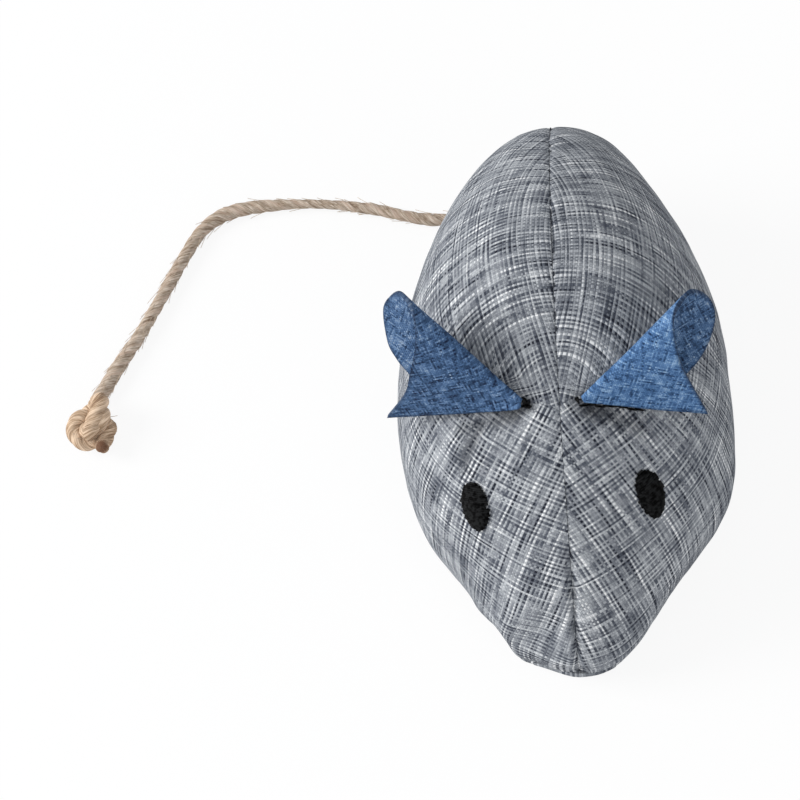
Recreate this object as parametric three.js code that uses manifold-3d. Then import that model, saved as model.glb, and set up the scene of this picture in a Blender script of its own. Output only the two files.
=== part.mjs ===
// Catnip mouse: a stuffed fabric body with darted cone ears, stitched eyes and a knotted cord tail.
// Millimetres, +Z up, nose towards -Y, lying on z = 0. Left is the mouse's own left, +X.
import * as THREE from 'three';
import { mergeVertices } from 'three/addons/utils/BufferGeometryUtils.js';
import Module from 'manifold-3d';

// Body form: the points where the three seams meet, as y and z
const NOSE = [-49, 3];
const RUMP = [44.5, 2.9];

// Body form from nose to rump: back seam as y, z; widest line as x, y, z; belly seam as x, y
const STATIONS = [
  { back: [-49.5, 8], widest: [5.1, -48.8, 4.5], belly: [4.1, -47.5] },
  { back: [-45.5, 16], widest: [10.6, -45, 7], belly: [8.3, -43] },
  { back: [-36, 29], widest: [16.9, -36, 10], belly: [13.5, -35] },
  { back: [-25, 40], widest: [24.5, -25, 13], belly: [19.6, -25] },
  { back: [-12, 47], widest: [27.8, -12, 15], belly: [22.3, -12] },
  { back: [5, 50], widest: [27, 5, 16], belly: [21.9, 4] },
  { back: [23, 45.5], widest: [22.7, 21, 16], belly: [18.7, 19] },
  { back: [39, 35], widest: [16.7, 35, 14], belly: [13.4, 32] },
  { back: [49.3, 19], widest: [11.4, 45.3, 10], belly: [8.2, 40] },
];

// Fabric, seams and thread
const FABRIC = 1;
const GAP = 0.3;
const ALLOWANCE = 4;
const BELLY_RIM = 0.8;
const BELLY_SETBACK = 1.4;
const THREAD = 0.5;
const STITCH_INSET = 2;
const STITCH_FROM = 0.14;
const STITCH_TO = 0.86;

// Fill: space between fill and fabric, how far it reaches to the front and rear, and the catnip in it
const FILL_GAP = 0.6;
const FILL_FRONT = -40;
const FILL_REAR = 40;
const CATNIP_CENTRE = [0, 2, 24];
const CATNIP_RADII = [9, 18, 10];

// Ears: fabric, rolled lower edge, and the dart that holds it
const EAR_FABRIC = 0.8;
const EAR_HEM = 1.4;
const EAR_TIP_WIDTH = 2;
const EAR_LIFT = 0.9;
const DART_SINK = 0.2;
const DART_CLEARANCE = 0.7;
const DART_OVERRUN = 1.3;

// Each ear is rolled by hand: tip and outer end of its dart as x, y on the left half, then its rim from
// the front corner over the lobe to the rear corner, along the dart, backwards and upwards
const EAR_LEFT = {
  tip: [3, -20.8],
  dartEnd: [15, -20.1],
  rim: [
    [21.8, 0, 0],
    [17.6, 3.6, 4],
    [13.7, 7.2, 8],
    [11.2, 11.6, 10.9],
    [10.7, 15, 12.3],
    [13.2, 18.3, 11.9],
    [17.3, 17.8, 9],
    [19.2, 15.2, 7],
    [19.8, 11.2, 4.1],
    [18.6, 6.5, 2.8],
  ],
};
const EAR_RIGHT = {
  tip: [5.4, -20.5],
  dartEnd: [17.4, -17.6],
  rim: [
    [25, 0, 0],
    [19.4, 2.9, 4.8],
    [15.6, 6.1, 8.9],
    [13, 9.4, 11.5],
    [11.8, 13, 13.2],
    [12.4, 16.7, 13.7],
    [15.6, 18.7, 11.8],
    [20.2, 17, 7.8],
    [22.2, 11.4, 4],
    [20.6, 6.6, 2.9],
  ],
};

// Eyes: satin-stitch pads
const EYE_X = 14.1;
const EYE_Y = -30.6;
const EYE_LENGTH = 8.2;
const EYE_WIDTH = 5.5;
const EYE_CROWN = 0.7;
const EYE_EDGE = 0.3;

// Tail cord: where it lies on the ground, from the rump to the knot
const CORD = 2.4;
const TAIL_ROUTE = [
  [0, 46.1, 2.9],
  [-3.4, 46.9, 2.3],
  [-7.5, 47, 1.5],
  [-13, 46.2, 1.25],
  [-18.5, 45.6, 1.25],
  [-23, 45.7, 1.25],
  [-27.5, 46.9, 1.25],
  [-33, 48.7, 1.25],
  [-39, 50.1, 1.25],
  [-45, 50.9, 1.25],
  [-51, 51.1, 1.25],
  [-56.7, 50.7, 1.25],
  [-61.1, 49.3, 1.25],
  [-64.5, 46.3, 1.25],
  [-67.1, 41.7, 1.25],
  [-69.8, 36, 1.25],
  [-72.6, 30, 1.25],
  [-75.6, 24, 1.25],
  [-78.7, 18.6, 1.25],
  [-81.5, 13.2, 1.25],
  [-83, 10.6, 1.5],
];

// Overhand knot: strand drawn thin, radius of its ring, swing of the strand in and out, rise over and
// under, angle where it opens, sideways spread of its two ends, and their lengths
const KNOT_STRAND = 2;
const KNOT_RING = 3;
const KNOT_SWING = 1.5;
const KNOT_RISE = 1.7;
const KNOT_OPEN = 0.32;
const KNOT_SPREAD = 0.4;
const KNOT_LEAD = 6;
const KNOT_END = 4;
const KNOT_ROOM = 1.35;
const ANCHOR_INSET = 11;

// Facets
const RINGS = 36;
const UPPER_FACETS = 9;
const LOWER_FACETS = 4;
const CORD_SIDES = 8;
const CORD_STEPS = 40;
const KNOT_SIDES = 6;
const KNOT_STEPS = 72;
const THREAD_STEPS = 60;
const THREAD_POINTS = 17;

const wasm = await Module();
wasm.setup();

const { PI, cos, sin, min, max } = Math;
const vec = (x, y, z) => new THREE.Vector3(x, y, z);
const smooth = (points) => new THREE.CatmullRomCurve3(points, false, 'catmullrom', 0.5);

// Solids and booleans

function solidOf(geometry) {
  const bare = geometry.clone();
  bare.deleteAttribute('normal');
  bare.deleteAttribute('uv');
  const merged = mergeVertices(bare, 1e-4);
  return new wasm.Manifold(
    new wasm.Mesh({
      numProp: 3,
      vertProperties: new Float32Array(merged.attributes.position.array),
      triVerts: new Uint32Array(merged.index.array),
    }),
  );
}

function geometryOf(solid) {
  const mesh = solid.getMesh();
  const geometry = new THREE.BufferGeometry();
  geometry.setAttribute('position', new THREE.BufferAttribute(mesh.vertProperties, 3));
  geometry.setIndex(new THREE.BufferAttribute(mesh.triVerts, 1));
  geometry.computeVertexNormals();
  return geometry;
}

// Closed body between two grids of points, the outer one facing out
function slab(outer, inner) {
  const rows = outer.length;
  const columns = outer[0].length;
  const position = [outer, inner].flat(2).flatMap((p) => [p.x, p.y, p.z]);
  const at = (side, i, j) => (side * rows + i) * columns + j;
  const index = [];
  const quad = (a, b, c, d) => index.push(a, b, c, a, c, d);
  for (let i = 0; i + 1 < rows; i++) {
    for (let j = 0; j + 1 < columns; j++) {
      quad(at(0, i, j), at(0, i, j + 1), at(0, i + 1, j + 1), at(0, i + 1, j));
      quad(at(1, i, j), at(1, i + 1, j), at(1, i + 1, j + 1), at(1, i, j + 1));
    }
  }
  const lastRow = rows - 1;
  const lastColumn = columns - 1;
  for (let j = 0; j < lastColumn; j++) {
    quad(at(0, 0, j + 1), at(0, 0, j), at(1, 0, j), at(1, 0, j + 1));
    quad(at(0, lastRow, j), at(0, lastRow, j + 1), at(1, lastRow, j + 1), at(1, lastRow, j));
  }
  for (let i = 0; i < lastRow; i++) {
    quad(at(0, i, 0), at(0, i + 1, 0), at(1, i + 1, 0), at(1, i, 0));
    quad(at(0, i + 1, lastColumn), at(0, i, lastColumn), at(1, i, lastColumn), at(1, i + 1, lastColumn));
  }
  const geometry = new THREE.BufferGeometry();
  geometry.setAttribute('position', new THREE.Float32BufferAttribute(position, 3));
  geometry.setIndex(index);
  geometry.computeVertexNormals();
  return geometry;
}

// Round tube along a curve, with closed ends
function tube(curve, diameter, sides, steps) {
  const section = new THREE.Shape();
  for (let k = 0; k < sides; k++) {
    const angle = (2 * PI * k) / sides;
    const corner = [(diameter / 2) * cos(angle), (diameter / 2) * sin(angle)];
    if (k === 0) section.moveTo(...corner);
    else section.lineTo(...corner);
  }
  return new THREE.ExtrudeGeometry(section, { steps, bevelEnabled: false, extrudePath: curve });
}

// Everything on one side of the body is made on the left, and mirrored for the right
function onSide(geometry, side) {
  if (side > 0) return geometry;
  const mirrored = geometry.clone().scale(-1, 1, 1);
  const { array } = mirrored.index;
  for (let i = 0; i < array.length; i += 3) [array[i], array[i + 1]] = [array[i + 1], array[i]];
  mirrored.computeVertexNormals();
  return mirrored;
}

// Outer surface of the left half: s runs from nose to rump, u from the back seam to the belly seam

const SEAM_Z = FABRIC + GAP;
const nose = vec(0, ...NOSE);
const rump = vec(0, ...RUMP);
const backSeam = smooth([nose, ...STATIONS.map(({ back }) => vec(0, ...back)), rump]);
const widestLine = smooth([nose, ...STATIONS.map(({ widest }) => vec(...widest)), rump]);
const bellySeam = smooth([nose, ...STATIONS.map(({ belly }) => vec(...belly, SEAM_Z)), rump]);
const UPPER_SHARE = UPPER_FACETS / (UPPER_FACETS + LOWER_FACETS);

function bellyPoint(s) {
  const point = bellySeam.getPoint(s);
  point.z = max(point.z, SEAM_Z);
  return point;
}

function skin(s, u) {
  const widest = widestLine.getPoint(s);
  if (u <= UPPER_SHARE) {
    const angle = ((u / UPPER_SHARE) * PI) / 2;
    const centre = vec(0, widest.y, widest.z);
    const rise = backSeam.getPoint(s).sub(centre);
    return centre.addScaledVector(rise, cos(angle)).add(vec(widest.x * sin(angle), 0, 0));
  }
  const angle = (((u - UPPER_SHARE) / (1 - UPPER_SHARE)) * PI) / 2;
  const belly = bellyPoint(s);
  const corner = vec(belly.x, (widest.y + belly.y) / 2, widest.z);
  const out = widest.sub(corner);
  const down = belly.sub(corner);
  return corner.addScaledVector(out, cos(angle)).addScaledVector(down, sin(angle));
}

function skinNormal(s, u) {
  const step = 1e-3;
  const along = skin(min(s + step, 1), u).sub(skin(max(s - step, 0), u));
  const around = skin(s, min(u + step, 1)).sub(skin(s, max(u - step, 0)));
  return around.cross(along).normalize();
}

const inset = (s, u, depth) => skin(s, u).addScaledVector(skinNormal(s, u), -depth);

// Place on the upper surface that lies above a point x, y of the ground, as s and u
function skinAbove(x, y) {
  let s = (y - NOSE[0]) / (RUMP[0] - NOSE[0]);
  let u = UPPER_SHARE / 2;
  const step = 1e-4;
  for (let round = 0; round < 30; round++) {
    const here = skin(s, u);
    const bySx = (skin(s + step, u).x - here.x) / step;
    const bySy = (skin(s + step, u).y - here.y) / step;
    const byUx = (skin(s, u + step).x - here.x) / step;
    const byUy = (skin(s, u + step).y - here.y) / step;
    const area = bySx * byUy - bySy * byUx;
    s += ((x - here.x) * byUy - (y - here.y) * byUx) / area;
    u += ((y - here.y) * bySx - (x - here.x) * bySy) / area;
  }
  return { s, u };
}

// Side panel: fabric from the allowance behind the back seam to the one over the belly panel

const NEAR_POLE = 0.004;
const FEATHER = 0.45;
const ALLOWANCE_SHARE = 0.3;
const UNDER_SHARE = 0.6;

function sidePanel() {
  const outer = [];
  const inner = [];
  for (let i = 0; i <= RINGS; i++) {
    const s = NEAR_POLE + ((1 - 2 * NEAR_POLE) * i) / RINGS;
    const thickness = min(FABRIC, FEATHER * widestLine.getPoint(s).x);
    const belly = bellyPoint(s);
    const turnIn = min(ALLOWANCE, ALLOWANCE_SHARE * backSeam.getPoint(s).distanceTo(belly));
    const run = bellySeam.getTangent(s);
    const inward = vec(-run.y, run.x, 0).normalize();
    const outerRow = [inset(s, 0, turnIn)];
    const innerRow = [inset(s, 0, max(turnIn, thickness)).add(vec(thickness, 0, 0))];
    for (let j = 0; j <= UPPER_FACETS + LOWER_FACETS; j++) {
      const u = j / (UPPER_FACETS + LOWER_FACETS);
      outerRow.push(skin(s, u));
      innerRow.push(inset(s, u, thickness).add(vec(j === 0 ? thickness : 0, 0, 0)));
    }
    const underTurn = belly.clone().addScaledVector(inward, min(turnIn, UNDER_SHARE * belly.x));
    outerRow.push(underTurn);
    innerRow.push(underTurn.clone().add(vec(0, 0, thickness)));
    for (const point of [...outerRow, ...innerRow]) point.x = max(point.x, 0) + GAP / 2;
    outer.push(outerRow);
    inner.push(innerRow);
  }
  return slab(outer, inner);
}

// Ear frame: origin on the dart's axis at the tip, one axis along the dart, one backwards, one upwards

function earFrame(shape) {
  const tip = skinAbove(...shape.tip);
  const end = skinAbove(...shape.dartEnd);
  const origin = inset(tip.s, tip.u, DART_SINK);
  const along = inset(end.s, end.u, DART_SINK).sub(origin);
  const length = along.length();
  along.normalize();
  const normal = skinNormal(tip.s, tip.u).add(skinNormal(end.s, end.u));
  const back = normal.cross(along).normalize();
  const up = along.clone().cross(back);
  return { length, matrix: new THREE.Matrix4().makeBasis(along, back, up).setPosition(origin) };
}

// Channel that the dart leaves for the ear's rolled hem, and the hem itself
function dartRod({ length, matrix }, diameter, overrun) {
  const run = new THREE.LineCurve3(vec(-overrun, 0, 0), vec(length + overrun, 0, 0));
  return tube(run, diameter, CORD_SIDES, 1).applyMatrix4(matrix);
}

// Ear: a fan of fabric that rolls up from the dart, over the lobe and down behind
function ear(frame, shape) {
  const rim = smooth(shape.rim.map((point) => vec(...point)));
  const across = 22;
  const outwards = 8;
  const start = EAR_TIP_WIDTH / shape.rim[0][0];
  const sheet = (r, v) => rim.getPoint(v).multiplyScalar(r).add(vec(0, 0, EAR_LIFT));
  const step = 1e-3;
  const outer = [];
  const inner = [];
  for (let i = -1; i <= across; i++) {
    const v = max(i, 0) / across;
    const outerRow = [];
    const innerRow = [];
    for (let j = 0; j <= outwards; j++) {
      const r = start + ((1 - start) * j) / outwards;
      const middle = sheet(r, v);
      const byR = sheet(r + step, v).sub(middle);
      const byV = sheet(r, min(v + step, 1)).sub(sheet(r, max(v - step, 0)));
      const out = byR.cross(byV).setLength(EAR_FABRIC / 2);
      if (i < 0) middle.z = 0;
      outerRow.push(middle.clone().add(out));
      innerRow.push(middle.clone().sub(out));
    }
    outer.push(outerRow);
    inner.push(innerRow);
  }
  const fan = slab(outer, inner).applyMatrix4(frame.matrix);
  return geometryOf(solidOf(fan).add(solidOf(dartRod(frame, EAR_HEM, 0))));
}

// Eye: an oval pad of stitches that follows the face, highest in the middle
function eye() {
  const { s, u } = skinAbove(EYE_X, EYE_Y);
  const step = 1e-3;
  const perS = skin(s + step, u).distanceTo(skin(s, u)) / step;
  const perU = skin(s, u + step).distanceTo(skin(s, u)) / step;
  const rings = 4;
  const spokes = 16;
  const top = [];
  const bottom = [];
  for (let k = 0; k <= spokes; k++) {
    const angle = (2 * PI * k) / spokes;
    const topRow = [];
    const bottomRow = [];
    for (let i = 0; i <= rings; i++) {
      const r = i / rings;
      const placeS = s + (r * (EYE_LENGTH / 2) * cos(angle)) / perS;
      const placeU = u + (r * (EYE_WIDTH / 2) * sin(angle)) / perU;
      const height = EYE_EDGE + (EYE_CROWN - EYE_EDGE) * (1 - r * r);
      topRow.push(inset(placeS, placeU, -GAP - height));
      bottomRow.push(inset(placeS, placeU, -GAP));
    }
    top.push(topRow);
    bottom.push(bottomRow);
  }
  return disc(top, bottom);
}

// Closed round pad from spokes of points; every spoke starts at the same centre
function disc(top, bottom) {
  const spokes = top.length - 1;
  const rings = top[0].length - 1;
  const position = [];
  const index = [];
  const faces = [
    { rows: top, order: (a, b, c) => index.push(a, b, c) },
    { rows: bottom, order: (a, b, c) => index.push(a, c, b) },
  ];
  const size = 1 + spokes * rings;
  faces.forEach(({ rows, order }, side) => {
    const at = (k, i) => side * size + 1 + (k % spokes) * rings + (i - 1);
    position.push(...rows[0][0].toArray());
    for (const row of rows.slice(0, spokes)) {
      for (const point of row.slice(1)) position.push(...point.toArray());
    }
    for (let k = 0; k < spokes; k++) {
      order(side * size, at(k + 1, 1), at(k, 1));
      for (let i = 1; i < rings; i++) {
        order(at(k, i), at(k + 1, i), at(k, i + 1));
        order(at(k + 1, i), at(k + 1, i + 1), at(k, i + 1));
      }
    }
  });
  for (let k = 0; k < spokes; k++) {
    const a = 1 + k * rings + rings - 1;
    const b = 1 + ((k + 1) % spokes) * rings + rings - 1;
    index.push(a, b, size + a, b, size + b, size + a);
  }
  const geometry = new THREE.BufferGeometry();
  geometry.setAttribute('position', new THREE.Float32BufferAttribute(position, 3));
  geometry.setIndex(index);
  geometry.computeVertexNormals();
  return geometry;
}

// Belly panel: flat base whose rim stands out past the belly seam, cut straight behind the snout
function bellyPanel() {
  const left = [];
  for (let i = 1; i < RINGS; i++) {
    const run = bellySeam.getTangent(i / RINGS);
    const point = bellySeam.getPoint(i / RINGS).add(vec(run.y, -run.x, 0).setLength(BELLY_RIM));
    if (point.y > NOSE[0] + BELLY_SETBACK) left.push(new THREE.Vector2(point.x, point.y));
  }
  const right = left.map((point) => new THREE.Vector2(-point.x, point.y)).reverse();
  const outline = new THREE.Shape([...left, new THREE.Vector2(0, RUMP[0] + BELLY_RIM), ...right]);
  return new THREE.ExtrudeGeometry(outline, { depth: FABRIC, bevelEnabled: false });
}

// Fill of the left half: slices across the body, stepped back from the seams and their thread

const FILL_SIDE = GAP / 2 + FABRIC + GAP + THREAD + GAP;
const FILL_FLOOR = FABRIC + GAP + FABRIC + GAP + THREAD + GAP;

// Value between two bounds at which a rising or falling measure crosses zero
function crossing(measure, low, high) {
  const rising = measure(high) > measure(low);
  for (let round = 0; round < 40; round++) {
    const middle = (low + high) / 2;
    if (measure(middle) > 0 === rising) high = middle;
    else low = middle;
  }
  return (low + high) / 2;
}

function fillSlice(y) {
  const depth = FABRIC + FILL_GAP;
  const cut = (u) => {
    const s = crossing((place) => inset(place, u, depth).y - y, 0.02, 0.98);
    return inset(s, u, depth);
  };
  const upper = crossing((u) => cut(u).x - FILL_SIDE, 0, UPPER_SHARE);
  const lower = crossing((u) => cut(u).z - FILL_FLOOR, UPPER_SHARE, 1);
  const count = 11;
  const points = [];
  for (let k = 0; k <= count; k++) points.push(cut(upper + ((lower - upper) * k) / count));
  const top = points[0];
  const shoulder = top.z - ALLOWANCE - GAP;
  points.push(vec(GAP / 2, y, FILL_FLOOR), vec(GAP / 2, y, shoulder), vec(FILL_SIDE, y, shoulder));
  return points;
}

function fillHalf() {
  const slices = 16;
  const rows = [];
  const pitch = (FILL_REAR - FILL_FRONT) / slices;
  for (let i = 0; i <= slices; i++) rows.push(fillSlice(FILL_FRONT + pitch * i));
  const count = rows[0].length;
  const position = rows.flat().flatMap((p) => [p.x, p.y, p.z]);
  const index = [];
  for (let i = 0; i < slices; i++) {
    for (let j = 0; j < count; j++) {
      const a = i * count + j;
      const b = i * count + ((j + 1) % count);
      index.push(a, b, b + count, a, b + count, a + count);
    }
  }
  for (const i of [0, slices]) {
    const flat = rows[i].map((p) => new THREE.Vector2(p.x, p.z));
    for (const [a, b, c] of THREE.ShapeUtils.triangulateShape(flat, [])) {
      const turned = i === 0 ? [a, b, c] : [a, c, b];
      index.push(...turned.map((k) => i * count + k));
    }
  }
  const geometry = new THREE.BufferGeometry();
  geometry.setAttribute('position', new THREE.Float32BufferAttribute(position, 3));
  geometry.setIndex(index);
  return solidOf(geometry);
}

function ellipsoid(centre, radii, grow) {
  const shape = new THREE.SphereGeometry(1, 16, 10);
  shape.scale(...radii.map((radius) => radius + grow));
  return shape.translate(...centre);
}

// Overhand knot: a trefoil opened at one lobe; the cord comes in over the crossing and leaves under it
function knotPath() {
  const points = [];
  const turns = 40;
  for (let k = 0; k <= turns; k++) {
    const t = KNOT_OPEN + ((2 * PI - 2 * KNOT_OPEN) * k) / turns;
    const radius = KNOT_RING + KNOT_SWING * cos(3 * t);
    points.push(vec(radius * cos(2 * t), radius * sin(2 * t), KNOT_RISE * sin(3 * t)));
  }
  const side = KNOT_RING + KNOT_SWING;
  const wide = side + KNOT_SPREAD;
  points.unshift(vec(side, -KNOT_LEAD, 0), vec(wide, -KNOT_LEAD / 2, KNOT_RISE / 2));
  points.push(vec(wide, KNOT_END / 2, -KNOT_RISE), vec(wide, KNOT_END, -KNOT_RISE));
  return points;
}

// Least space between a tube's stretches that aren't neighbours along it
function leastGap(points, diameter) {
  const curve = smooth(points);
  const count = 240;
  const samples = curve.getSpacedPoints(count);
  const neighbour = 2.2 * diameter;
  const skip = Math.ceil(neighbour / (curve.getLength() / count));
  let least = Infinity;
  for (let i = 0; i <= count; i++) {
    for (let j = i + skip; j <= count; j++) least = min(least, samples[i].distanceTo(samples[j]));
  }
  return least - diameter;
}

console.log('least gap in the knot, mm:', leastGap(knotPath(), KNOT_STRAND).toFixed(2));

// Knot on a cord that arrives at a point, travelling along one axis, with the knot's loops to one side
function placedKnot(entry, travel, aside) {
  const axisX = aside.clone().normalize();
  const axisY = travel.clone().normalize();
  const axisZ = axisX.clone().cross(axisY);
  const start = vec(KNOT_RING + KNOT_SWING, -KNOT_LEAD, 0);
  const matrix = new THREE.Matrix4().makeBasis(axisX, axisY, axisZ);
  matrix.setPosition(entry.clone().sub(start.applyMatrix4(matrix)));
  const path = smooth(knotPath().map((point) => point.applyMatrix4(matrix)));
  return tube(path, KNOT_STRAND, KNOT_SIDES, KNOT_STEPS);
}

// Tail: cord from a rounded root at the rump to the knot that lies at its end
const tailPoints = TAIL_ROUTE.map((point) => vec(...point));
const tailRoot = tailPoints[0];
const tailEnd = tailPoints.at(-1);
const tailTravel = tailEnd.clone().sub(tailPoints.at(-2)).setZ(0).normalize();

function tailCord() {
  const run = tube(smooth(tailPoints), CORD, CORD_SIDES, CORD_STEPS);
  const root = new THREE.SphereGeometry(CORD / 2, 10, 6).translate(...tailRoot.toArray());
  return geometryOf(solidOf(run).add(solidOf(root)));
}

function tailKnot() {
  const entry = tailEnd.clone().addScaledVector(tailTravel, GAP);
  entry.z = KNOT_STRAND / 2 + KNOT_RISE + GAP;
  return placedKnot(entry, tailTravel, vec(tailTravel.y, -tailTravel.x, 0));
}

// Inner end of the cord: a stub through the rump and a knot behind the seam
const stubEnd = tailRoot.y - CORD / 2 - GAP;

function tailAnchor() {
  const entry = vec(0, stubEnd - ANCHOR_INSET + KNOT_LEAD, tailRoot.z);
  const knot = placedKnot(entry, vec(0, -1, 0), vec(0, 0, -1));
  const stub = tube(new THREE.LineCurve3(vec(0, stubEnd, entry.z), entry.clone()), CORD, KNOT_SIDES, 1);
  return geometryOf(solidOf(knot).add(solidOf(stub)));
}

// Holes for the cord through the rump, and room for the knot in the fill
function cordHole(grow) {
  const length = ANCHOR_INSET + CORD;
  const hole = new THREE.CylinderGeometry(CORD / 2 + grow, CORD / 2 + grow, length, 12);
  return solidOf(hole.translate(0, stubEnd + CORD - length / 2, 0).translate(0, 0, tailRoot.z));
}

function knotRoom() {
  const half = KNOT_RING + KNOT_SWING + CORD / 2;
  const centre = [0, stubEnd - ANCHOR_INSET, tailRoot.z + KNOT_RING + KNOT_SWING];
  return solidOf(ellipsoid(centre, [KNOT_RISE + CORD, half * KNOT_ROOM, half * KNOT_ROOM], GAP));
}

// Seam threads: one beside the turned-in back seam, one over the turned-in belly seam
const stitched = Array.from(
  { length: THREAD_POINTS },
  (_, k) => STITCH_FROM + ((STITCH_TO - STITCH_FROM) * k) / (THREAD_POINTS - 1),
);

function dorsalThread() {
  const points = [];
  const beside = GAP / 2 + FABRIC + GAP + THREAD / 2;
  for (const s of stitched) points.push(inset(s, 0, STITCH_INSET + FABRIC / 2).add(vec(beside, 0, 0)));
  return tube(smooth(points), THREAD, KNOT_SIDES, THREAD_STEPS);
}

function bellyThread() {
  const height = SEAM_Z + FABRIC + GAP + THREAD / 2;
  const place = (s, side) => {
    const run = bellySeam.getTangent(s);
    const point = bellySeam.getPoint(s).add(vec(-run.y, run.x, 0).setLength(STITCH_INSET));
    return vec(side * point.x, point.y, height);
  };
  const points = stitched.toReversed().map((s) => place(s, -1));
  points.push(...stitched.map((s) => place(s, 1)));
  return tube(smooth(points), THREAD, KNOT_SIDES, THREAD_STEPS);
}

// Assembly

const mouse = new THREE.Group();

function add(name, geometry, color, roughness) {
  const mesh = new THREE.Mesh(geometry, new THREE.MeshStandardMaterial({ color, roughness, metalness: 0 }));
  mesh.name = name;
  mouse.add(mesh);
}

const LINEN = 0x868c94;
const DENIM = 0x4a6790;
const JUTE = 0xbfa17c;
const FILL = 0xf2f0ea;
const SEWING_THREAD = 0x9aa0a6;
const EMBROIDERY = 0x17181b;
const CATNIP = 0x6f7a48;

const panel = sidePanel();
const catnipRoom = solidOf(ellipsoid(CATNIP_CENTRE, CATNIP_RADII, GAP));
const fill = fillHalf().subtract(catnipRoom).subtract(knotRoom()).subtract(cordHole(GAP));
const sides = [
  { word: 'left', side: 1, shape: EAR_LEFT },
  { word: 'right', side: -1, shape: EAR_RIGHT },
];
for (const { word, side, shape } of sides) {
  const frame = earFrame(shape);
  const slot = solidOf(dartRod(frame, EAR_HEM + 2 * DART_CLEARANCE, DART_OVERRUN));
  const cut = solidOf(panel).subtract(slot).subtract(cordHole(GAP));
  add(`side_panel_${word}`, onSide(geometryOf(cut), side), LINEN, 0.9);
  add(`ear_${word}`, onSide(ear(frame, shape), side), DENIM, 0.9);
  add(`eye_${word}`, onSide(eye(), side), EMBROIDERY, 0.6);
  add(`stuffing_${word}`, onSide(geometryOf(fill), side), FILL, 1);
}
add('belly_panel', bellyPanel(), LINEN, 0.9);
add('catnip_filling', ellipsoid(CATNIP_CENTRE, CATNIP_RADII, 0), CATNIP, 1);
add('tail_cord', tailCord(), JUTE, 0.95);
add('tail_knot', tailKnot(), JUTE, 0.95);
add('tail_anchor_knot', tailAnchor(), JUTE, 0.95);
add('dorsal_seam_thread', dorsalThread(), SEWING_THREAD, 0.7);
add('belly_seam_thread', bellyThread(), SEWING_THREAD, 0.7);

export default mouse;
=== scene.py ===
import math

import bmesh
import bpy
import numpy as np
from mathutils import Matrix, Vector, noise


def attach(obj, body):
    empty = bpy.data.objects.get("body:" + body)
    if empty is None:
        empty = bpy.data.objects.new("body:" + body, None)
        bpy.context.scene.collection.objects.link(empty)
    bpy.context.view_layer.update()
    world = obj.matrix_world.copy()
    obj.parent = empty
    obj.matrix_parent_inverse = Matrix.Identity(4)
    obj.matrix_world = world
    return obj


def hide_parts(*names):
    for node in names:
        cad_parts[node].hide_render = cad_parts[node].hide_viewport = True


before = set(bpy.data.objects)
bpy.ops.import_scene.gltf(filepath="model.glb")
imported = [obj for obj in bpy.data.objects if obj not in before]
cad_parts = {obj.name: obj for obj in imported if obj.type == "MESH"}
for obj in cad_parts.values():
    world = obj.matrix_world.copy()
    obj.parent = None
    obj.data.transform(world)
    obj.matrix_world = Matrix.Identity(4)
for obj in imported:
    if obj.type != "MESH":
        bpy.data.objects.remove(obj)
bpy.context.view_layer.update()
scene = bpy.context.scene
scene.view_settings.view_transform = "Standard"

# Camera: a long lens that looks down on the mouse from in front of its nose.
# The aim point lies off the middle of the picture, so the camera is turned until it falls there.
ELEVATION = math.radians(57)
AZIMUTH = math.radians(-2.8076)
ROLL = math.radians(-5.8351)
DISTANCE = 0.65
FOCAL_PIXELS = 3853.8
PICTURE_PIXELS = 800
AIM = Vector((0, 0.001, 0.020))
AIM_PIXEL = (562.44, 364.432)

look = Vector(
    (
        math.sin(AZIMUTH) * math.cos(ELEVATION),
        math.cos(AZIMUTH) * math.cos(ELEVATION),
        -math.sin(ELEVATION),
    )
)
level = look.cross((0, 0, 1)).normalized()
rise = level.cross(look)
right = math.cos(ROLL) * level + math.sin(ROLL) * rise
up = math.cos(ROLL) * rise - math.sin(ROLL) * level
aside = (AIM_PIXEL[0] - PICTURE_PIXELS / 2) / FOCAL_PIXELS
above = (PICTURE_PIXELS / 2 - AIM_PIXEL[1]) / FOCAL_PIXELS
forward = (look - aside * right - above * up).normalized()
right = (right - forward * right.dot(forward)).normalized()
up = right.cross(forward)

camera = bpy.data.objects.new("camera", bpy.data.cameras.new("camera"))
camera.data.sensor_width = 36
camera.data.lens = FOCAL_PIXELS * camera.data.sensor_width / PICTURE_PIXELS
camera.data.clip_start = 0.01
facing = Matrix((right, up, -forward)).transposed().to_4x4()
camera.matrix_world = Matrix.Translation(AIM - DISTANCE * look) @ facing
scene.collection.objects.link(camera)
scene.camera = camera


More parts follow.
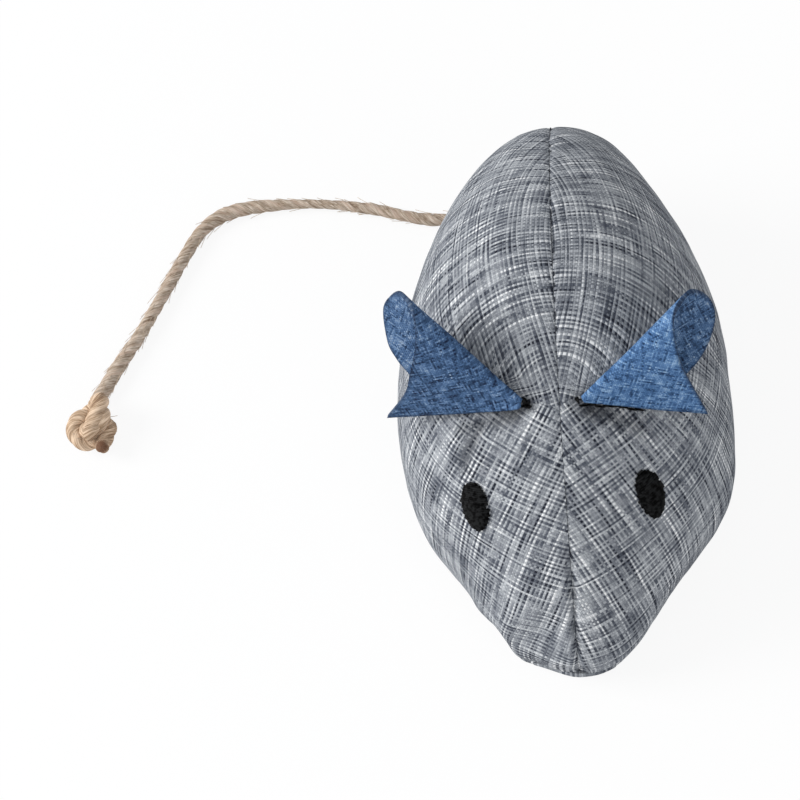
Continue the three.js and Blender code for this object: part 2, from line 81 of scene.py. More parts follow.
# Studio: a pale floor, one large soft lamp at the left, a weaker one in front and an even white sky.
# To the camera the floor is mostly plain white, so that only a trace of the mouse's shadow is left on it.
class Shade:
    """A shader socket that takes part in Python sums; node() adds any other node."""

    def __init__(self, tree, socket=None):
        self.tree = tree
        self.socket = socket

    def node(self, kind, settings=None, inputs=None, out=0):
        made = self.tree.nodes.new(kind)
        for name, value in (settings or {}).items():
            if name == "stops":
                ramp = made.color_ramp.elements
                while len(ramp) < len(value):
                    ramp.new(1)
                for element, (place, colour) in zip(ramp, value):
                    element.position = place
                    element.color = (*colour, 1)
            else:
                setattr(made, name, value)
        for key, value in (inputs or {}).items():
            if isinstance(value, Shade):
                self.tree.links.new(value.socket, made.inputs[key])
            else:
                made.inputs[key].default_value = value
        return Shade(self.tree, made.outputs[out] if made.outputs else None)

    def math(self, operation, *others):
        return self.node("ShaderNodeMath", {"operation": operation}, dict(enumerate((self, *others))))

    def mix(self, first, second):
        """Colour between two others, by this value."""
        sockets = {0: self, 6: first, 7: second}
        return self.node("ShaderNodeMix", {"data_type": "RGBA"}, sockets, out=2)

    def ramp(self, stops):
        """Colour from a row of stops, by this value."""
        return self.node("ShaderNodeValToRGB", {"stops": stops}, {"Fac": self})

    def clouds(self, scale, detail):
        """Noise in space, at this place."""
        return self.node("ShaderNodeTexNoise", inputs={"Vector": self, "Scale": scale, "Detail": detail})

    def streaks(self, x, y, detail):
        """Noise in a plane, at a place given by two values."""
        place = self.node("ShaderNodeCombineXYZ", inputs={0: x, 1: y})
        inputs = {"Vector": place, "Scale": 1.0, "Detail": detail}
        return self.node("ShaderNodeTexNoise", {"noise_dimensions": "2D"}, inputs)

    def __add__(self, other):
        return self.math("ADD", other)

    def __sub__(self, other):
        return self.math("SUBTRACT", other)

    def __rsub__(self, other):
        return self.node("ShaderNodeMath", {"operation": "SUBTRACT"}, {0: other, 1: self})

    def __mul__(self, other):
        return self.math("MULTIPLY", other)

    def __truediv__(self, other):
        return self.math("DIVIDE", other)

    __radd__ = __add__
    __rmul__ = __mul__


def blank_material(name):
    """Empty material, and the Shade that adds nodes to it."""
    material = bpy.data.materials.new(name)
    material.use_nodes = True
    material.node_tree.nodes.clear()
    return material, Shade(material.node_tree)


FLOOR_WHITE = (1.0, 1.0, 1.0, 1)
FLOOR_PAINT = (0.9, 0.9, 0.9, 1)
FLOOR_REACH = 4.0
FLOOR_DROP = 0.0002
SHADOW_SHARE = 0.1
SKY_TINT = (0.95, 0.97, 1.0, 1)
SKY_STRENGTH = 0.53

floor_mesh = bpy.data.meshes.new("floor")
corners = [(FLOOR_REACH * x, FLOOR_REACH * y, 0) for x, y in ((-1, -1), (1, -1), (1, 1), (-1, 1))]
floor_mesh.from_pydata(corners, [], [(0, 1, 2, 3)])
floor = bpy.data.objects.new("floor", floor_mesh)
floor.location.z = -FLOOR_DROP
scene.collection.objects.link(floor)
floor_material, shade = blank_material("floor")
paint = shade.node("ShaderNodeBsdfDiffuse", inputs={"Color": FLOOR_PAINT})
glow = shade.node("ShaderNodeEmission", inputs={"Color": FLOOR_WHITE, "Strength": 1.0})
seen = shade.node("ShaderNodeLightPath", out="Is Camera Ray")
mirrored = shade.node("ShaderNodeLightPath", out="Is Glossy Ray")
through = shade.node("ShaderNodeLightPath", out="Is Transmission Ray")
plain = (seen + mirrored + through).math("MINIMUM", 1) * (1 - SHADOW_SHARE)
surface = shade.node("ShaderNodeMixShader", inputs={0: plain, 1: paint, 2: glow})
shade.node("ShaderNodeOutputMaterial", inputs={"Surface": surface})
floor_mesh.materials.append(floor_material)

world = bpy.data.worlds.new("sky")
scene.world = world
world.use_nodes = True
world.node_tree.nodes.clear()
shade = Shade(world.node_tree)
seen = shade.node("ShaderNodeLightPath", out="Is Camera Ray")
even = shade.node("ShaderNodeBackground", inputs={"Color": SKY_TINT, "Strength": SKY_STRENGTH})
white = shade.node("ShaderNodeBackground", inputs={"Color": FLOOR_WHITE, "Strength": 1.0})
sky = shade.node("ShaderNodeMixShader", inputs={0: seen, 1: even, 2: white})
shade.node("ShaderNodeOutputWorld", inputs={"Surface": sky})

for name, place, size, power in (
    ("key_lamp", (-1.0, 0.05, 0.66), 0.6, 12.0),
    ("front_lamp", (0.45, -0.95, 0.7), 0.8, 3.3),
):
    lamp = bpy.data.objects.new(name, bpy.data.lights.new(name, "AREA"))
    lamp.data.size = size
    lamp.data.energy = power
    lamp.location = place
    lamp.rotation_euler = (AIM - Vector(place)).to_track_quat("-Z", "Y").to_euler()
    scene.collection.objects.link(lamp)

# Tail: three-ply jute cord that comes out of the rump and lies on the ground beside the body.
# Its plies are twisted, its thickness wanders, and loose fibres stand off it.
MM = 0.001
CORD = 2.4 * MM
TAIL_ROUTE = MM * np.array(
    [
        (0, 46.1, 2.9), (-3.4, 46.9, 2.3), (-7.5, 47, 1.5), (-13, 46.2, 1.25), (-18.5, 45.6, 1.25),
        (-23, 45.7, 1.25), (-27.5, 46.9, 1.25), (-33, 48.7, 1.25), (-39, 50.1, 1.25), (-45, 50.9, 1.25),
        (-51, 51.1, 1.25), (-56.7, 50.7, 1.25), (-61.1, 49.3, 1.25), (-64.5, 46.3, 1.25),
        (-67.1, 41.7, 1.25), (-69.8, 36, 1.25), (-72.6, 30, 1.25), (-75.6, 24, 1.25),
        (-78.7, 18.6, 1.25), (-81.5, 13.2, 1.25), (-83, 10.6, 1.5),
    ]
)
CORD_PLIES = 3
CORD_LAY = 8 * MM
CORD_GROOVE = 0.16
CORD_WANDER = 0.07
WANDER_RUN = 5 * MM
SWELL_RUN = 4 * MM
CORD_CAP = 0.4
CORD_STEP = 0.3 * MM
CORD_SIDES = 30
# Share of the thickness at places along the cord, in millimetres from the rump
CORD_PROFILE = [
    (0, 0.95), (21, 0.93), (28, 0.88), (34, 0.85), (37.5, 0.80), (41, 0.75), (45, 0.715),
    (48.5, 0.73), (52, 0.89), (56, 0.98), (59.5, 1.1), (63, 1.05), (66, 0.98), (72.5, 0.98),
    (77, 1.03), (82, 0.95), (86, 0.93), (91, 0.96), (95.5, 1.08), (100, 1.1), (107, 1.08),
]


def smooth_line(points, places):
    """Smooth curve through the points, at places from 0 at the first to 1 at the last."""
    points = np.asarray(points, float)
    ends = np.vstack([2 * points[0] - points[1], points, 2 * points[-1] - points[-2]])
    x = np.clip(places, 0, 1) * (len(points) - 1)
    i = np.minimum(x.astype(int), len(points) - 2)
    w = (x - i)[..., None]
    a, b, c, d = (ends[i + k] for k in range(4))
    return b + 0.5 * w * (c - a + w * (2 * a - 5 * b + 4 * c - d + w * (3 * b - a - 3 * c + d)))


def even_steps(points, step):
    """The smooth curve through the points, cut into equal steps."""
    fine = smooth_line(points, np.linspace(0, 1, 4000))
    run = np.concatenate([[0], np.cumsum(size_of(np.diff(fine, axis=0)))])
    wanted = np.linspace(0, run[-1], round(run[-1] / step) + 1)
    return np.stack([np.interp(wanted, run, fine[:, k]) for k in range(3)], 1), wanted


def unit(v):
    return v / np.maximum(np.linalg.norm(v, axis=-1, keepdims=True), 1e-12)


def size_of(v):
    return np.linalg.norm(v, axis=-1)


def piece(name, points, faces, material, uv):
    """Mesh object from points in metres, with a place on the cloth for every point or every corner."""
    mesh = bpy.data.meshes.new(name)
    mesh.from_pydata([tuple(p) for p in np.asarray(points).reshape(-1, 3)], [], faces)
    corners = np.zeros(len(mesh.loops), int)
    mesh.loops.foreach_get("vertex_index", corners)
    uv = np.asarray(uv, float).reshape(-1, 2)
    layer = mesh.uv_layers.new(name="grain")
    layer.data.foreach_set("uv", (uv if len(uv) == len(corners) else uv[corners]).ravel())
    mesh.shade_smooth()
    mesh.materials.append(material)
    made = bpy.data.objects.new(name, mesh)
    scene.collection.objects.link(made)
    return made


def grid_faces(rows, columns, wrap=False):
    """Quads of a grid of points; wrap joins the last column to the first."""
    i, j = np.meshgrid(np.arange(rows - 1), np.arange(columns if wrap else columns - 1), indexing="ij")
    k = (j + 1) % columns
    quads = np.stack([i * columns + j, i * columns + k, (i + 1) * columns + k, (i + 1) * columns + j], -1)
    return quads.reshape(-1, 4).tolist()


def twisted_cord(name, route, diameter, material, swell=0, profile=((0, 1),)):
    """Cord of twisted plies along a route, with rounded ends.

    Swell thickens it away from its ends, and profile gives the share of its thickness along it.
    """
    line, run = even_steps(route, CORD_STEP)
    ahead = unit(np.gradient(line, axis=0))
    beside = np.zeros_like(line)
    beside[0] = unit(np.cross(ahead[0], (0, 0, 1)))
    for i in range(1, len(line)):
        beside[i] = unit(beside[i - 1] - ahead[i] * (beside[i - 1] @ ahead[i]))
    over = np.cross(ahead, beside)
    around = np.arange(CORD_SIDES) * 2 * np.pi / CORD_SIDES
    twist = around[None] - run[:, None] * 2 * np.pi / CORD_LAY
    from_ply = twist % (2 * np.pi / CORD_PLIES) - np.pi / CORD_PLIES
    groove = CORD_GROOVE * (np.abs(from_ply) * CORD_PLIES / np.pi) ** 2.5
    wander = np.array([noise.noise((place / WANDER_RUN, diameter / MM, 0)) for place in run])
    to_end = np.minimum(run, run[-1] - run)
    thicker = 1 + CORD_WANDER * wander + swell * np.minimum(1, to_end / SWELL_RUN)
    radius = diameter / 2 * thicker[:, None] * (1 - groove)
    radius *= np.interp(run / MM, *np.transpose(profile))[:, None]
    cap = np.clip(to_end / (CORD_CAP * diameter), 0, 1)
    radius *= np.sqrt(np.maximum(1 - (1 - cap) ** 2, 0.003))[:, None]
    ring = np.cos(around)[None, :, None] * beside[:, None] + np.sin(around)[None, :, None] * over[:, None]
    points = line[:, None] + radius[..., None] * ring
    points[..., 2] = np.maximum(points[..., 2], 0)
    turns = np.arange(CORD_SIDES + 1) / CORD_SIDES
    unrolled = np.stack(np.broadcast_arrays(turns[None], run[:, None] / MM), -1)
    uv = unrolled.reshape(-1, 2)[np.array(grid_faces(len(line), CORD_SIDES + 1))].reshape(-1, 2)
    uv = np.concatenate([uv, unrolled[0, :-1][::-1], unrolled[-1, :-1]])
    faces = grid_faces(len(line), CORD_SIDES, wrap=True)
    faces.append(list(range(CORD_SIDES))[::-1])
    faces.append([(len(line) - 1) * CORD_SIDES + k for k in range(CORD_SIDES)])
    return piece(name, points, faces, material, uv), line, run[-1]


def principled(colour, roughness, height, depth, strength, gloss=0.2):
    """Last nodes of a material, from its colour, its roughness and the height of its surface."""
    bump = colour.node("ShaderNodeBump", inputs={"Height": height, "Distance": depth, "Strength": strength})
    sockets = {"Base Color": colour, "Roughness": roughness, "Specular IOR Level": gloss, "Normal": bump}
    body = colour.node("ShaderNodeBsdfPrincipled", inputs=sockets)
    colour.node("ShaderNodeOutputMaterial", inputs={"Surface": body})


def cloth_place(shade):
    """The two coordinates of a place on the cloth or the cord."""
    place = shade.node("ShaderNodeUVMap", {"uv_map": "grain"})
    return [shade.node("ShaderNodeSeparateXYZ", inputs={0: place}, out=k) for k in (0, 1)]


JUTE_DARK = (0.19, 0.12, 0.075)
JUTE_MIDDLE = (0.44, 0.347, 0.263)
JUTE_LIGHT = (0.76, 0.66, 0.56)
JUTE_CUT = (0.10, 0.035, 0.015)
JUTE_RUDDY = (0.45, 0.27, 0.185)
RUDDY_SHARE = 0.4
RUDDY_FROM = 0.52
RUDDY_FULL = 0.62
CUT_FADE = (1.1, 0.3)


def jute(name, cut_at=None, tint=(1, 1, 1), ruddy=0.0):
    """Pale bast fibres wound along the plies, browner in patches and at the cut end, with painted shade in
    the grooves between the plies.
    """
    material, shade = blank_material(name)
    turns, run = cloth_place(shade)
    wound_turns = turns - run * (MM / CORD_LAY)
    wound = wound_turns * (2 * math.pi)
    groove = ((wound_turns * CORD_PLIES).math("FRACT") * 2 - 1).math("ABSOLUTE").math("POWER", 4)
    spiral = {0: wound.math("COSINE") * 4, 1: wound.math("SINE") * 4, 2: run * 0.55}
    rounded = shade.node("ShaderNodeCombineXYZ", inputs=spiral)
    fibre = rounded.clouds(1.6, 3.0)
    broad = rounded.clouds(0.35, 2.0)
    tone = fibre * 0.6 + broad * 0.4
    stops = [(0.35, JUTE_DARK), (0.46, JUTE_MIDDLE), (0.60, JUTE_LIGHT)]
    stops = [(place, tuple(np.multiply(colour, tint))) for place, colour in stops]
    colour = tone.ramp(stops)
    patch = shade.node("ShaderNodeMapRange", inputs={0: broad, 1: RUDDY_FROM, 2: RUDDY_FULL})
    colour = (patch * ruddy).mix(colour, (*JUTE_RUDDY, 1))
    # Painted shade in the grooves between the plies
    colour = (groove * 0.45).mix(colour, (*JUTE_DARK, 1))
    if cut_at:
        begin, full = (cut_at - before for before in CUT_FADE)
        end = shade.node("ShaderNodeMapRange", inputs={0: run, 1: begin, 2: full})
        colour = (end * 0.85).mix(colour, (*JUTE_CUT, 1))
    principled(colour, 0.9 - 0.1 * fibre, fibre, 0.25 * MM, 0.7)
    return material


cord_jute = jute("jute", ruddy=RUDDY_SHARE)
cord_parts = twisted_cord("tail_cord_jute", TAIL_ROUTE, CORD, cord_jute, profile=CORD_PROFILE)
tail, tail_line, tail_length = cord_parts
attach(tail, "tail")
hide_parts("tail_cord")

# Knot: the free end of the cord tied in an overhand knot and cut off.
# It is pulled up close, and the short end shows its brown cut face.
KNOT_RING = 2.1 * MM
KNOT_SWING = 1.15 * MM
KNOT_RISE = 1.35 * MM
KNOT_OPEN = 0.32
KNOT_CORD = 2.5 * MM
KNOT_SWELL = 0.2
KNOT_TINT = (1.13, 1.0, 0.87)
KNOT_MIDDLE = MM * np.array((-82.8, 4.9, 3.2))

turn = np.linspace(KNOT_OPEN, 2 * np.pi - KNOT_OPEN, 41)
reach = KNOT_RING + KNOT_SWING * np.cos(3 * turn)
loops = np.stack([reach * np.cos(2 * turn), reach * np.sin(2 * turn), KNOT_RISE * np.sin(3 * turn)], 1)
side = KNOT_RING + KNOT_SWING
travel = unit((TAIL_ROUTE[-1] - TAIL_ROUTE[-2]) * (1, 1, 0))
outward = np.array((-travel[1], travel[0], 0))
turned = np.stack([outward, travel, (0, 0, 1)])
loops = KNOT_MIDDLE + loops @ turned
leaving = MM * np.array([(3.4, 1.9, -0.5), (3.9, 3.2, 0.7)])
leaving = KNOT_MIDDLE + leaving @ turned
crossing = KNOT_MIDDLE + np.array((-0.1 * side, -1.2 * side, 1.6 * KNOT_RISE)) @ turned
knot_route = np.vstack([TAIL_ROUTE[-1], crossing, loops[2:], leaving])
_, knot_run = even_steps(knot_route, CORD_STEP)
knot_jute = jute("jute_knot", knot_run[-1] / MM, KNOT_TINT)
knot, knot_line, _ = twisted_cord("tail_knot_jute", knot_route, KNOT_CORD, knot_jute, KNOT_SWELL)
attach(knot, "tail")
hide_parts("tail_knot")

# Loose fibres: fine ends of bast that stand off the cord and its knot.
# They lie mostly along the cord, as the twist lays them.
FIBRE = 0.09 * MM
FIBRE_COUNT = 240
FIBRE_LENGTH = (1.2, 3.4)
FIBRE_SPLAY = (0.05, 0.3)
FIBRE_BEND = 90
FIBRE_DARK = (0.40, 0.30, 0.21)
FIBRE_LIGHT = (0.72, 0.60, 0.47)
THREAD_SIDES = 6
THREAD_TAPER = 0.7
SPUN_SCALE = 1600.0


def sewn_threads(name, lines, thickness, material, seed, unevenness=0.2):
    """Threads along given lines: a node tree sweeps a round section along each, thinner at its ends."""
    mesh = bpy.data.meshes.new(name)
    starts = np.cumsum([0] + [len(line) for line in lines])
    edges = [(k, k + 1) for first, line in zip(starts, lines) for k in range(first, first + len(line) - 1)]
    mesh.from_pydata(np.concatenate(lines).tolist(), edges, [])
    made = bpy.data.objects.new(name, mesh)
    scene.collection.objects.link(made)
    tree = bpy.data.node_groups.new(name, "GeometryNodeTree")
    sockets = {"Lines": "Geometry", "Thickness": "Float", "Unevenness": "Float", "Seed": "Int"}
    named = {
        word: tree.interface.new_socket(word, in_out="INPUT", socket_type=f"NodeSocket{kind}").identifier
        for word, kind in sockets.items()
    }
    tree.interface.new_socket("Threads", in_out="OUTPUT", socket_type="NodeSocketGeometry")
    shade = Shade(tree)
    given = {word: shade.node("NodeGroupInput", out=word) for word in sockets}
    curves = shade.node("GeometryNodeMeshToCurve", inputs={"Mesh": given["Lines"]})
    share = shade.node("GeometryNodeSplineParameter", out="Factor")
    towards_end = (share * 2 - 1).math("ABSOLUTE").math("POWER", 5)
    uneven = shade.node(
        "FunctionNodeRandomValue",
        {"data_type": "FLOAT"},
        {2: 1 - given["Unevenness"], 3: 1 + given["Unevenness"], 8: given["Seed"]},
        out=1,
    )
    thinned = uneven * (1 - THREAD_TAPER * towards_end)
    curves = shade.node("GeometryNodeSetCurveRadius", inputs={"Curve": curves, "Radius": thinned})
    circle = {"Resolution": THREAD_SIDES, "Radius": given["Thickness"] * 0.5}
    section = shade.node("GeometryNodeCurvePrimitiveCircle", inputs=circle)
    swept = {"Curve": curves, "Profile Curve": section, "Fill Caps": True}
    threads = shade.node("GeometryNodeCurveToMesh", inputs=swept)
    threads = shade.node("GeometryNodeSetShadeSmooth", inputs={"Geometry": threads})
    threads = shade.node("GeometryNodeRealizeInstances", inputs={"Geometry": threads})
    threads = shade.node("GeometryNodeSetMaterial", inputs={"Geometry": threads, "Material": material})
    shade.node("NodeGroupOutput", inputs={"Threads": threads})
    sweep = made.modifiers.new("threads", "NODES")
    sweep.node_group = tree
    for word, value in (("Thickness", thickness), ("Unevenness", unevenness), ("Seed", seed)):
        sweep[named[word]] = value
    evaluated = made.evaluated_get(bpy.context.evaluated_depsgraph_get())
    swept_mesh = bpy.data.meshes.new_from_object(evaluated)
    made.modifiers.clear()
    made.data = swept_mesh
    return made


def thread_material(name, dark, light, roughness, gloss=0.2, spread=0.2):
    """Spun thread, a little lighter and darker along its length."""
    material, shade = blank_material(name)
    place = shade.node("ShaderNodeTexCoord", out="Object")
    spun = place.clouds(SPUN_SCALE, 2.0)
    stops = [(0.5 - spread, dark), (0.5 + spread, light)]
    colour = spun.ramp(stops)
    principled(colour, roughness + 0.1 * spun, spun, 0.08 * MM, 0.5, gloss)
    return material


random = np.random.default_rng(11)
fibre_lines = []
tail_reach = CORD / 2 * np.interp(np.arange(len(tail_line)) * CORD_STEP / MM, *np.transpose(CORD_PROFILE))
knot_reach = np.full(len(knot_line), KNOT_CORD * 0.55)
fibred = ((tail_line, tail_reach, FIBRE_COUNT), (knot_line, knot_reach, FIBRE_COUNT // 3))
for line, reach, count in fibred:
    for _ in range(count):
        first = random.integers(4, len(line) - 14)
        ahead = unit(line[first + 8] - line[first])
        off = unit(np.cross(ahead, random.normal(size=3)))
        along = np.linspace(0, random.uniform(*FIBRE_LENGTH) * MM, 5)[:, None]
        curl = reach[first] * 0.9 + along * random.uniform(*FIBRE_SPLAY)
        bend = np.cross(ahead, off) * along**2 * random.uniform(-FIBRE_BEND, FIBRE_BEND)
        lie = line[first] + ahead * along + off * curl + bend
        lie[:, 2] = np.maximum(lie[:, 2], 0.1 * MM)
        fibre_lines.append(lie)
fibre_material = thread_material("jute_fibre", FIBRE_DARK, FIBRE_LIGHT, 0.8)
fibres = sewn_threads("tail_fibres", fibre_lines, FIBRE, fibre_material, seed=3)
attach(fibres, "tail")

# Body: two side panels of slub linen-look cloth, sewn together along the back and turned right side out.
# A dart at each ear takes in the cloth, so the grain in front of it runs slantwise.
# The lines below are in millimetres: the back seam as y and z, the belly seam, ears and darts as x and y.
SIDES = {"left": 1, "right": -1}
NOSE = (-49, 3)
RUMP = (44.5, 2.9)
BACK_SEAM = [
    (-49.5, 8), (-45.5, 16), (-36, 29), (-25, 40), (-12, 47),
    (5, 50), (23, 45.5), (39, 35), (49.3, 19),
]
WIDEST_LINE = [
    (5.1, -48.8, 4.5), (10.6, -45, 7), (16.9, -36, 10), (24.5, -25, 13), (27.8, -12, 15),
    (27, 5, 16), (22.7, 21, 16), (16.7, 35, 14), (11.4, 45.3, 10),
]
BELLY_SEAM = [
    (4.1, -47.5), (8.3, -43), (13.5, -35), (19.6, -25), (22.3, -12),
    (21.9, 4), (18.7, 19), (13.4, 32), (8.2, 40),
]
SEAM_HEIGHT = 1.3 * MM
UPPER_SHARE = 9 / 13
PANEL_ROWS = (80, 185)
PANEL_COLUMNS = 150
CLOTH = 0.8 * MM
BELLY_CLOTH = 1 * MM
EAR_TIPS = {"left": (3, -20.8), "right": (5.4, -20.5)}
DART_ENDS = {"left": (15, -20.1), "right": (17.4, -17.6)}

nose = (0, *NOSE)
rump = (0, *RUMP)
back_points = MM * np.array([nose, *[(0, y, z) for y, z in BACK_SEAM], rump])
widest_points = MM * np.array([nose, *WIDEST_LINE, rump])
belly_points = MM * np.array([nose, *[(x, y, SEAM_HEIGHT / MM) for x, y in BELLY_SEAM], rump])


def skin(s, u):
    """Left half of the stuffed body: s from nose to rump, u from the back seam to the belly seam."""
    s, u = np.broadcast_arrays(np.asarray(s, float), np.asarray(u, float))
    back = smooth_line(back_points, s)
    widest = smooth_line(widest_points, s)
    belly = smooth_line(belly_points, s)
    belly[..., 2] = np.maximum(belly[..., 2], SEAM_HEIGHT)
    angle = (np.clip(u / UPPER_SHARE, 0, 1) * np.pi / 2)[..., None]
    middle = widest * (0, 1, 1)
    upper = middle + (back - middle) * np.cos(angle) + widest * (1, 0, 0) * np.sin(angle)
    angle = (np.clip((u - UPPER_SHARE) / (1 - UPPER_SHARE), 0, 1) * np.pi / 2)[..., None]
    corner = np.stack([belly[..., 0], (widest[..., 1] + belly[..., 1]) / 2, widest[..., 2]], -1)
    lower = corner + (widest - corner) * np.cos(angle) + (belly - corner) * np.sin(angle)
    return np.where((u <= UPPER_SHARE)[..., None], upper, lower)


def skin_normal(s, u):
    step = 1e-3
    along = skin(np.minimum(s + step, 1), u) - skin(np.maximum(s - step, 0), u)
    around = skin(s, np.minimum(u + step, 1)) - skin(s, np.maximum(u - step, 0))
    return unit(np.cross(around, along))


def skin_above(x, y):
    """Place on the upper body above a point of the ground, in millimetres, as s and u."""
    low, high = 0.0, 1.0
    for _ in range(40):
        s = (low + high) / 2
        width = smooth_line(widest_points, np.array(s))[0]
        u = UPPER_SHARE * 2 / np.pi * np.arcsin(min(1, x * MM / max(width, 1e-9)))
        if skin(s, u)[1] < y * MM:
            low = s
        else:
            high = s
    return s, u


def ease(low, high, x):
    t = np.clip((x - low) / (high - low), 0, 1)
    return t * t * (3 - 2 * t)


def to_segment(points, start, end):
    """Distance of points from a straight line between two places, and how far along it they are."""
    run = end - start
    share = np.clip(((points - start) @ run) / (run @ run), 0, 1)
    return size_of(points - start - share[..., None] * run), share


def lumps(points, size, seed):
    """Soft uneven swelling, from -1 to 1."""
    flat = (points / size + seed).reshape(-1, 3)
    return np.array([noise.noise(p) for p in flat]).reshape(points.shape[:-1])


# The panel's grid, and its flat pattern: how far the cloth opens at the dart and at the snout
PANEL_ENDS = (0.004, 0.996)
COLUMN_CROWDING = 0.45
DART_BEND_REACH = 0.28
PATTERN_ROWS = (26, 60)
PATTERN_COLUMNS = 44
DART_OPENING = math.radians(2)
DART_SECTOR = np.radians((90, 265))
SNOUT_OPENING = math.radians(2)
SNOUT_SECTOR = np.radians((200, 280))
SNOUT_REACH = (8, 34)
DART_DRAW = 16

# The cloth simulation
PUFF_SCALE = 20
PUFF_SETTINGS = {
    "quality": 6,
    "mass": 0.3,
    "tension_stiffness": 15,
    "compression_stiffness": 15,
    "shear_stiffness": 5,
    "bending_stiffness": 0.3,
    "shrink_min": -0.02,
    "use_pressure": True,
    "uniform_pressure_force": 0.5,
    "vertex_group_mass": "sewn",
}
PUFF_FRAMES = 24
PUFF_SETBACK = 0.7 * MM
PUFF_LIMIT = 1.0 * MM


def panel_grid(word, rows, columns):
    """Places s and u of a panel's grid: its rows are split at the dart, and bend to follow it."""
    tip_s, tip_u = skin_above(*EAR_TIPS[word])
    end_s, end_u = skin_above(*DART_ENDS[word])
    spread = np.linspace(0, 1, columns)
    u = spread * (COLUMN_CROWDING + (1 - COLUMN_CROWDING) * ease(0, 0.3, spread))
    u = u / u[-1]
    column = np.argmin(np.abs(u - end_u))
    before = np.linspace(PANEL_ENDS[0], end_s, rows[0])
    after = np.linspace(end_s, PANEL_ENDS[1], rows[1] + 1)[1:]
    straight = np.concatenate([before, after])
    bend = (tip_s - end_s) * np.clip((end_u - u) / (end_u - tip_u), 0, 1.5)
    near = np.clip(1 - np.abs(straight - end_s) / DART_BEND_REACH, 0, 1)
    s = straight[:, None] + near[:, None] * bend[None]
    return s, np.broadcast_to(u, s.shape), rows[0] - 1, column


def flat_pattern(word):
    """The panel cut open along its dart and laid flat: places on the cloth before and behind the dart."""
    s, u, cut, column = panel_grid(word, PATTERN_ROWS, PATTERN_COLUMNS)
    points = skin(s, u)
    rows, columns = s.shape
    faces = np.array(grid_faces(rows, columns))
    opened = np.arange(column) + cut * columns
    lips = {int(k): rows * columns + n for n, k in enumerate(opened)}
    front_faces = faces[: cut * (columns - 1)].tolist()
    front_faces = [[lips.get(k, k) for k in quad] for quad in front_faces]
    mesh = bpy.data.meshes.new("flat_pattern")
    all_points = np.concatenate([points.reshape(-1, 3), points.reshape(-1, 3)[opened]])
    mesh.from_pydata((all_points / MM).tolist(), [], front_faces + faces[cut * (columns - 1) :].tolist())
    mesh.uv_layers.new(name="flat")
    pattern = bpy.data.objects.new("flat_pattern", mesh)
    scene.collection.objects.link(pattern)
    bpy.context.view_layer.objects.active = pattern
    pattern.select_set(True)
    bpy.ops.object.mode_set(mode="EDIT")
    bpy.ops.mesh.select_all(action="SELECT")
    bpy.ops.uv.unwrap(method="MINIMUM_STRETCH", iterations=30)
    bpy.ops.object.mode_set(mode="OBJECT")
    corners = np.zeros(len(mesh.loops), int)
    mesh.loops.foreach_get("vertex_index", corners)
    laid = np.zeros(2 * len(mesh.loops))
    mesh.uv_layers["flat"].data.foreach_get("uv", laid)
    flat = np.zeros((len(all_points), 2))
    flat[corners] = laid.reshape(-1, 2)
    bpy.data.objects.remove(pattern)

    # Full size, with the back seam behind the dart upright and the panel on the side of greater x
    seam = flat[cut * columns + columns : rows * columns : columns]
    heading = seam[len(seam) // 2] - seam[0]
    true_length = size_of(np.diff(points[cut + 1 :, 0], axis=0))[: len(seam) // 2].sum() / MM
    size = true_length / size_of(heading)
    upright = unit(heading)
    flat = (flat - seam[0]) * size
    flat = np.stack([flat @ (upright[1], -upright[0]), flat @ upright], 1)
    if flat[cut * columns + column, 0] < 0:
        flat[:, 0] *= -1

    # The dart takes in more cloth than the plain form does, so the pattern opens further in front of it
    pivot = flat[cut * columns + column].copy()
    x, y = (flat - pivot).T
    sector = np.arctan2(y, -x) % (2 * np.pi)
    opening = DART_OPENING * ease(*DART_SECTOR, sector)
    opening += SNOUT_OPENING * ease(*SNOUT_REACH, np.hypot(x, y)) * ease(*SNOUT_SECTOR, sector)
    cos, sin = np.cos(opening), np.sin(opening)
    flat = pivot + np.stack([x * cos - y * sin, x * sin + y * cos], 1)
    grid = flat[: rows * columns].reshape(rows, columns, 2)
    ahead = grid[: cut + 1].copy()
    ahead[cut, :column] = flat[rows * columns :]

    # Behind the dart the cloth is drawn round the point between the ears, so its cross threads bow
    behind = grid[cut:].copy()
    away = np.hypot(*np.moveaxis(behind, -1, 0))
    angle = np.arctan2(behind[..., 0], behind[..., 1])
    widest_angle = np.arctan2(*pivot)
    bow = DART_DRAW * np.tanh(away / DART_DRAW) * (1 - np.cos(angle))
    behind[..., 1] += bow * ease(0.96 * widest_angle, 0.6 * widest_angle, angle)
    return ahead, behind


def spread_over(grid, rows, columns):
    """Finer grid of values between those of a coarse one."""
    i = np.linspace(0, grid.shape[0] - 1, rows)
    j = np.linspace(0, grid.shape[1] - 1, columns)
    low_i = np.minimum(i.astype(int), grid.shape[0] - 2)
    low_j = np.minimum(j.astype(int), grid.shape[1] - 2)
    w_i = (i - low_i)[:, None, None]
    w_j = (j - low_j)[None, :, None]
    near = grid[low_i][:, low_j] * (1 - w_j) + grid[low_i][:, low_j + 1] * w_j
    far = grid[low_i + 1][:, low_j] * (1 - w_j) + grid[low_i + 1][:, low_j + 1] * w_j
    return near * (1 - w_i) + far * w_i


# Dents and swellings: a place, how far it reaches and which way the cloth is pushed, in millimetres
PRESSES = [
    ((26.5, -20, 10), 7, (0.9, -0.3, 0)),
    ((28, -4, 17), 8, (-0.5, 0, 0)),
    ((-9.5, 42, 27), 6, (0.6, -0.5, -0.3)),
    ((-12.5, -41.5, 4), 3.6, (0.8, 0.6, 0)),
    ((-8.8, -46, 2.5), 2.4, (-0.3, -0.8, 0)),
    ((6, -48, 1), 2.2, (-0.3, 0.5, 0)),
    ((0, -49.3, 3.5), 2, (0, 0.8, 0)),
]
SNOUT_BLUNT = 1.9
SNOUT_FULL = 1.3


